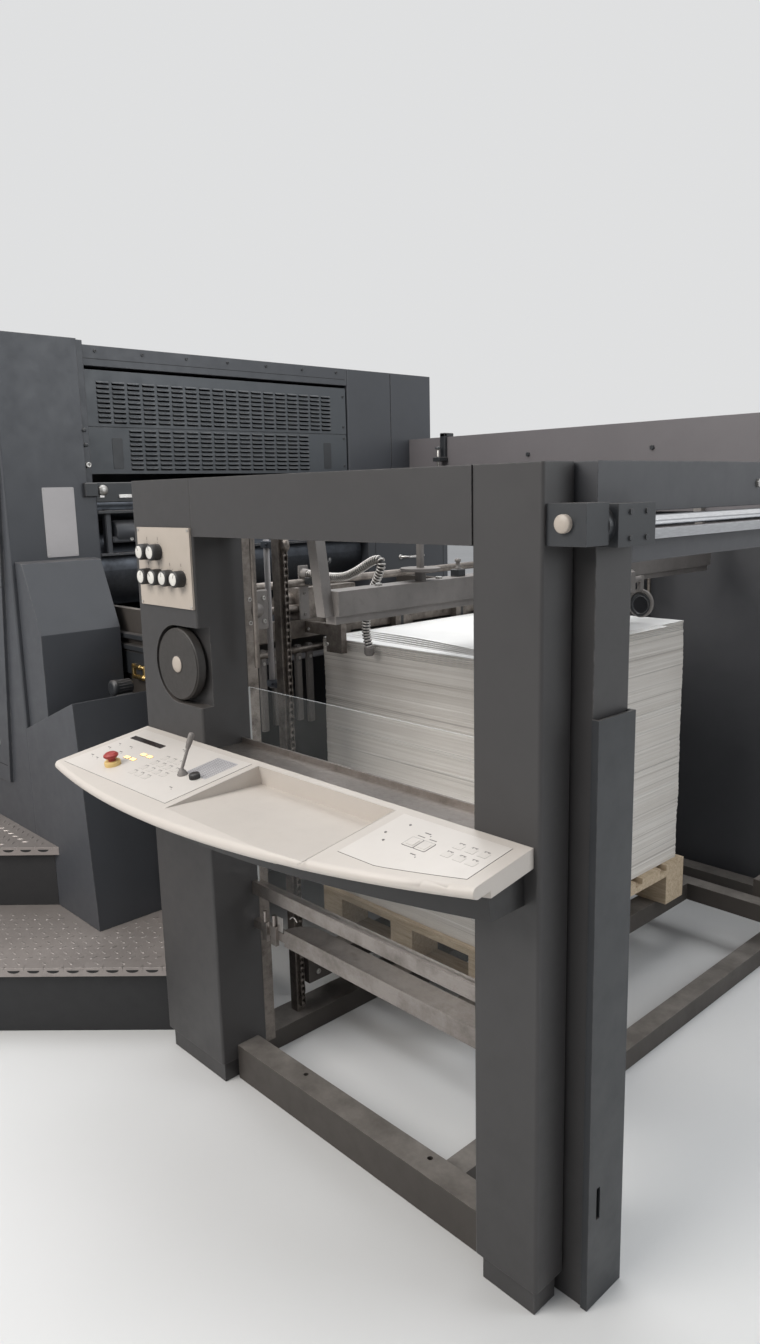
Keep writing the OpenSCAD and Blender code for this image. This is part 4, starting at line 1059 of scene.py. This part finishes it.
# ---- drive side, back and delivery
def outer_details():
    seam, bolts, bright = parts(3)
    wall = 1080  # side of the hood and the far beam
    # feeder's drive side panel and beams
    seam.seams(face_y(1074.2, 1), (), ((587, 100, 1490), (890, 100, 1490)))
    bolts.bolts((310, 560, 620, 860, 920, 1165), (1074,), (120, 800, 1470), PY, 7, 4)
    for x in (435, 740, 1040):
        handle(bright, (x, 1074, 1300), PY, PX, 120, 28)
    for x in (-800, -200, 400, 1000, 1300):
        for z in (1680, 1800):
            bolts.hexnut((x, wall, z), PY, 12, 9)
    # delivery: panel seams on the hood, bolts along its foot, posts' bolts and handles
    for s in (-1, 1):
        seam.seams(face_y(s * (wall + 0.2), s), ((1300, -3700, -3260),),
            [(x, 1652, 1898) for x in (-5100, -4750, -4270, -3790)])
        y, out = (s * wall,), (0, s, 0)
        bolts.bolts(range(-5070, -3771, 118), y, (1672, 1878), out, 6, 3.5)
        bolts.bolts((-5100, -4980), y, (140, 1580), out, 8, 5)
        bolts.bolts((-3500, -3280), y, (140, 820), out, 8, 5)
        for x in (-4990, -4030):
            handle(bright, (x, s * wall, 1775), out, PX, 140, 30)
    seam.m = SAME
    for x in (-4900, -4420, -3940):
        seam.box((x, -1078, 1899.8), (x + 2.5, 1078, 1900.4))
    bolts.bolts((-5080, -3760), range(-1000, 1001, 250), (1900,), PZ, 7, 4)
    # unit tops
    for u in UNITS:
        bolts.bolts((u - 1710, u - 1000), range(-680, 421, 220), (2137,), PZ, 7, 4)
        seam.box((u - 1360, -748, 2136.8), (u - 1357.5, 538, 2137.4))
    # back of the feeder: nuts on the cross beam
    for y in (-400, 0, 400, 800):
        bolts.hexnut((1390, y, 1600), PX, 9, 6)
    seam.emit("outer_seams", "seam")
    bolts.emit("outer_bolts", "zinc")
    bright.emit("outer_handles", "steel")


outer_details()


# ---- studio, in metres
def studio():
    fl = Tree("studio_floor")
    fl.done(fl.mix(fl.ramp(fl.noise(0.6, 3), 0.3, 0.7), (0.62, 0.62, 0.61), (0.66, 0.655, 0.65)), 0.85)
    me = bpy.data.meshes.new("studio_floor")
    s = 60
    me.from_pydata([(-s, -s, -0.001), (s, -s, -0.001), (s, s, -0.001), (-s, s, -0.001)], [], [(0, 1, 2, 3)])
    me.materials.append(fl.mat)
    o = show("studio_floor", me)
    w = bpy.data.worlds.new("studio")
    w.use_nodes = True
    nt = w.node_tree
    nt.nodes.clear()
    new, link = nt.nodes.new, nt.links.new
    mix = new("ShaderNodeMixShader")
    for i, colour, strength in ((1, (0.92, 0.95, 1.0, 1), 0.5), (2, (0.74, 0.745, 0.75, 1), 1.0)):
        light = new("ShaderNodeBackground")
        light.inputs[0].default_value, light.inputs[1].default_value = colour, strength
        link(light.outputs[0], mix.inputs[i])
    path = new("ShaderNodeLightPath")
    total = path.outputs["Is Camera Ray"]
    for ray in ("Is Glossy Ray", "Is Transmission Ray"):
        add = new("ShaderNodeMath")
        add.operation, add.use_clamp = "ADD", True
        link(total, add.inputs[0])
        link(path.outputs[ray], add.inputs[1])
        total = add.outputs[0]
    link(total, mix.inputs[0])
    link(mix.outputs[0], new("ShaderNodeOutputWorld").inputs[0])
    bpy.context.scene.world = w

    def lamp(name, at, to, size, power, colour):
        d = bpy.data.lights.new(name, "AREA")
        d.size, d.energy, d.color = size, power, colour
        o = show(name, d)
        o.location = at
        o.rotation_mode = "QUATERNION"
        o.rotation_quaternion = (Vector(to) - Vector(at)).to_track_quat("-Z", "Y")

    lamp("key", (1.6, -5.2, 4.6), (2.2, -0.6, 0.9), 3.5, 280, (1.0, 0.97, 0.93))
    lamp("top", (0.5, 0.5, 5.2), (0.8, 0.0, 0.6), 5.0, 230, (0.96, 0.98, 1.0))
    lamp("side", (7.5, 2.5, 3.6), (2.4, -0.2, 1.0), 3.5, 130, (0.93, 0.97, 1.0))
    lamp("back", (-6.5, 3.5, 4.5), (-2.0, 0.0, 1.0), 4.0, 180, (0.96, 0.98, 1.0))
    bpy.context.scene.view_settings.view_transform = "Standard"


def camera():
    yaw, pitch, roll = (radians(a) for a in (46.8, 10.83, -1.336))
    fwd = Vector((-sin(yaw) * cos(pitch), cos(yaw) * cos(pitch), -sin(pitch)))
    right = Vector((cos(yaw), sin(yaw), 0))
    up = right.cross(fwd)
    r = right * cos(roll) + up * sin(roll)
    u = -right * sin(roll) + up * cos(roll)
    cam = bpy.data.cameras.new("camera")
    cam.sensor_width = 36
    cam.lens = 942 / 1344 * 36
    o = show("camera", cam)
    o.matrix_world = Matrix(((r.x, u.x, -fwd.x, 2.304 + OX), (r.y, u.y, -fwd.y, -2.352), (r.z, u.z, -fwd.z, 1.6),
        (0, 0, 0, 1)))
    bpy.context.scene.camera = o


studio()
camera()
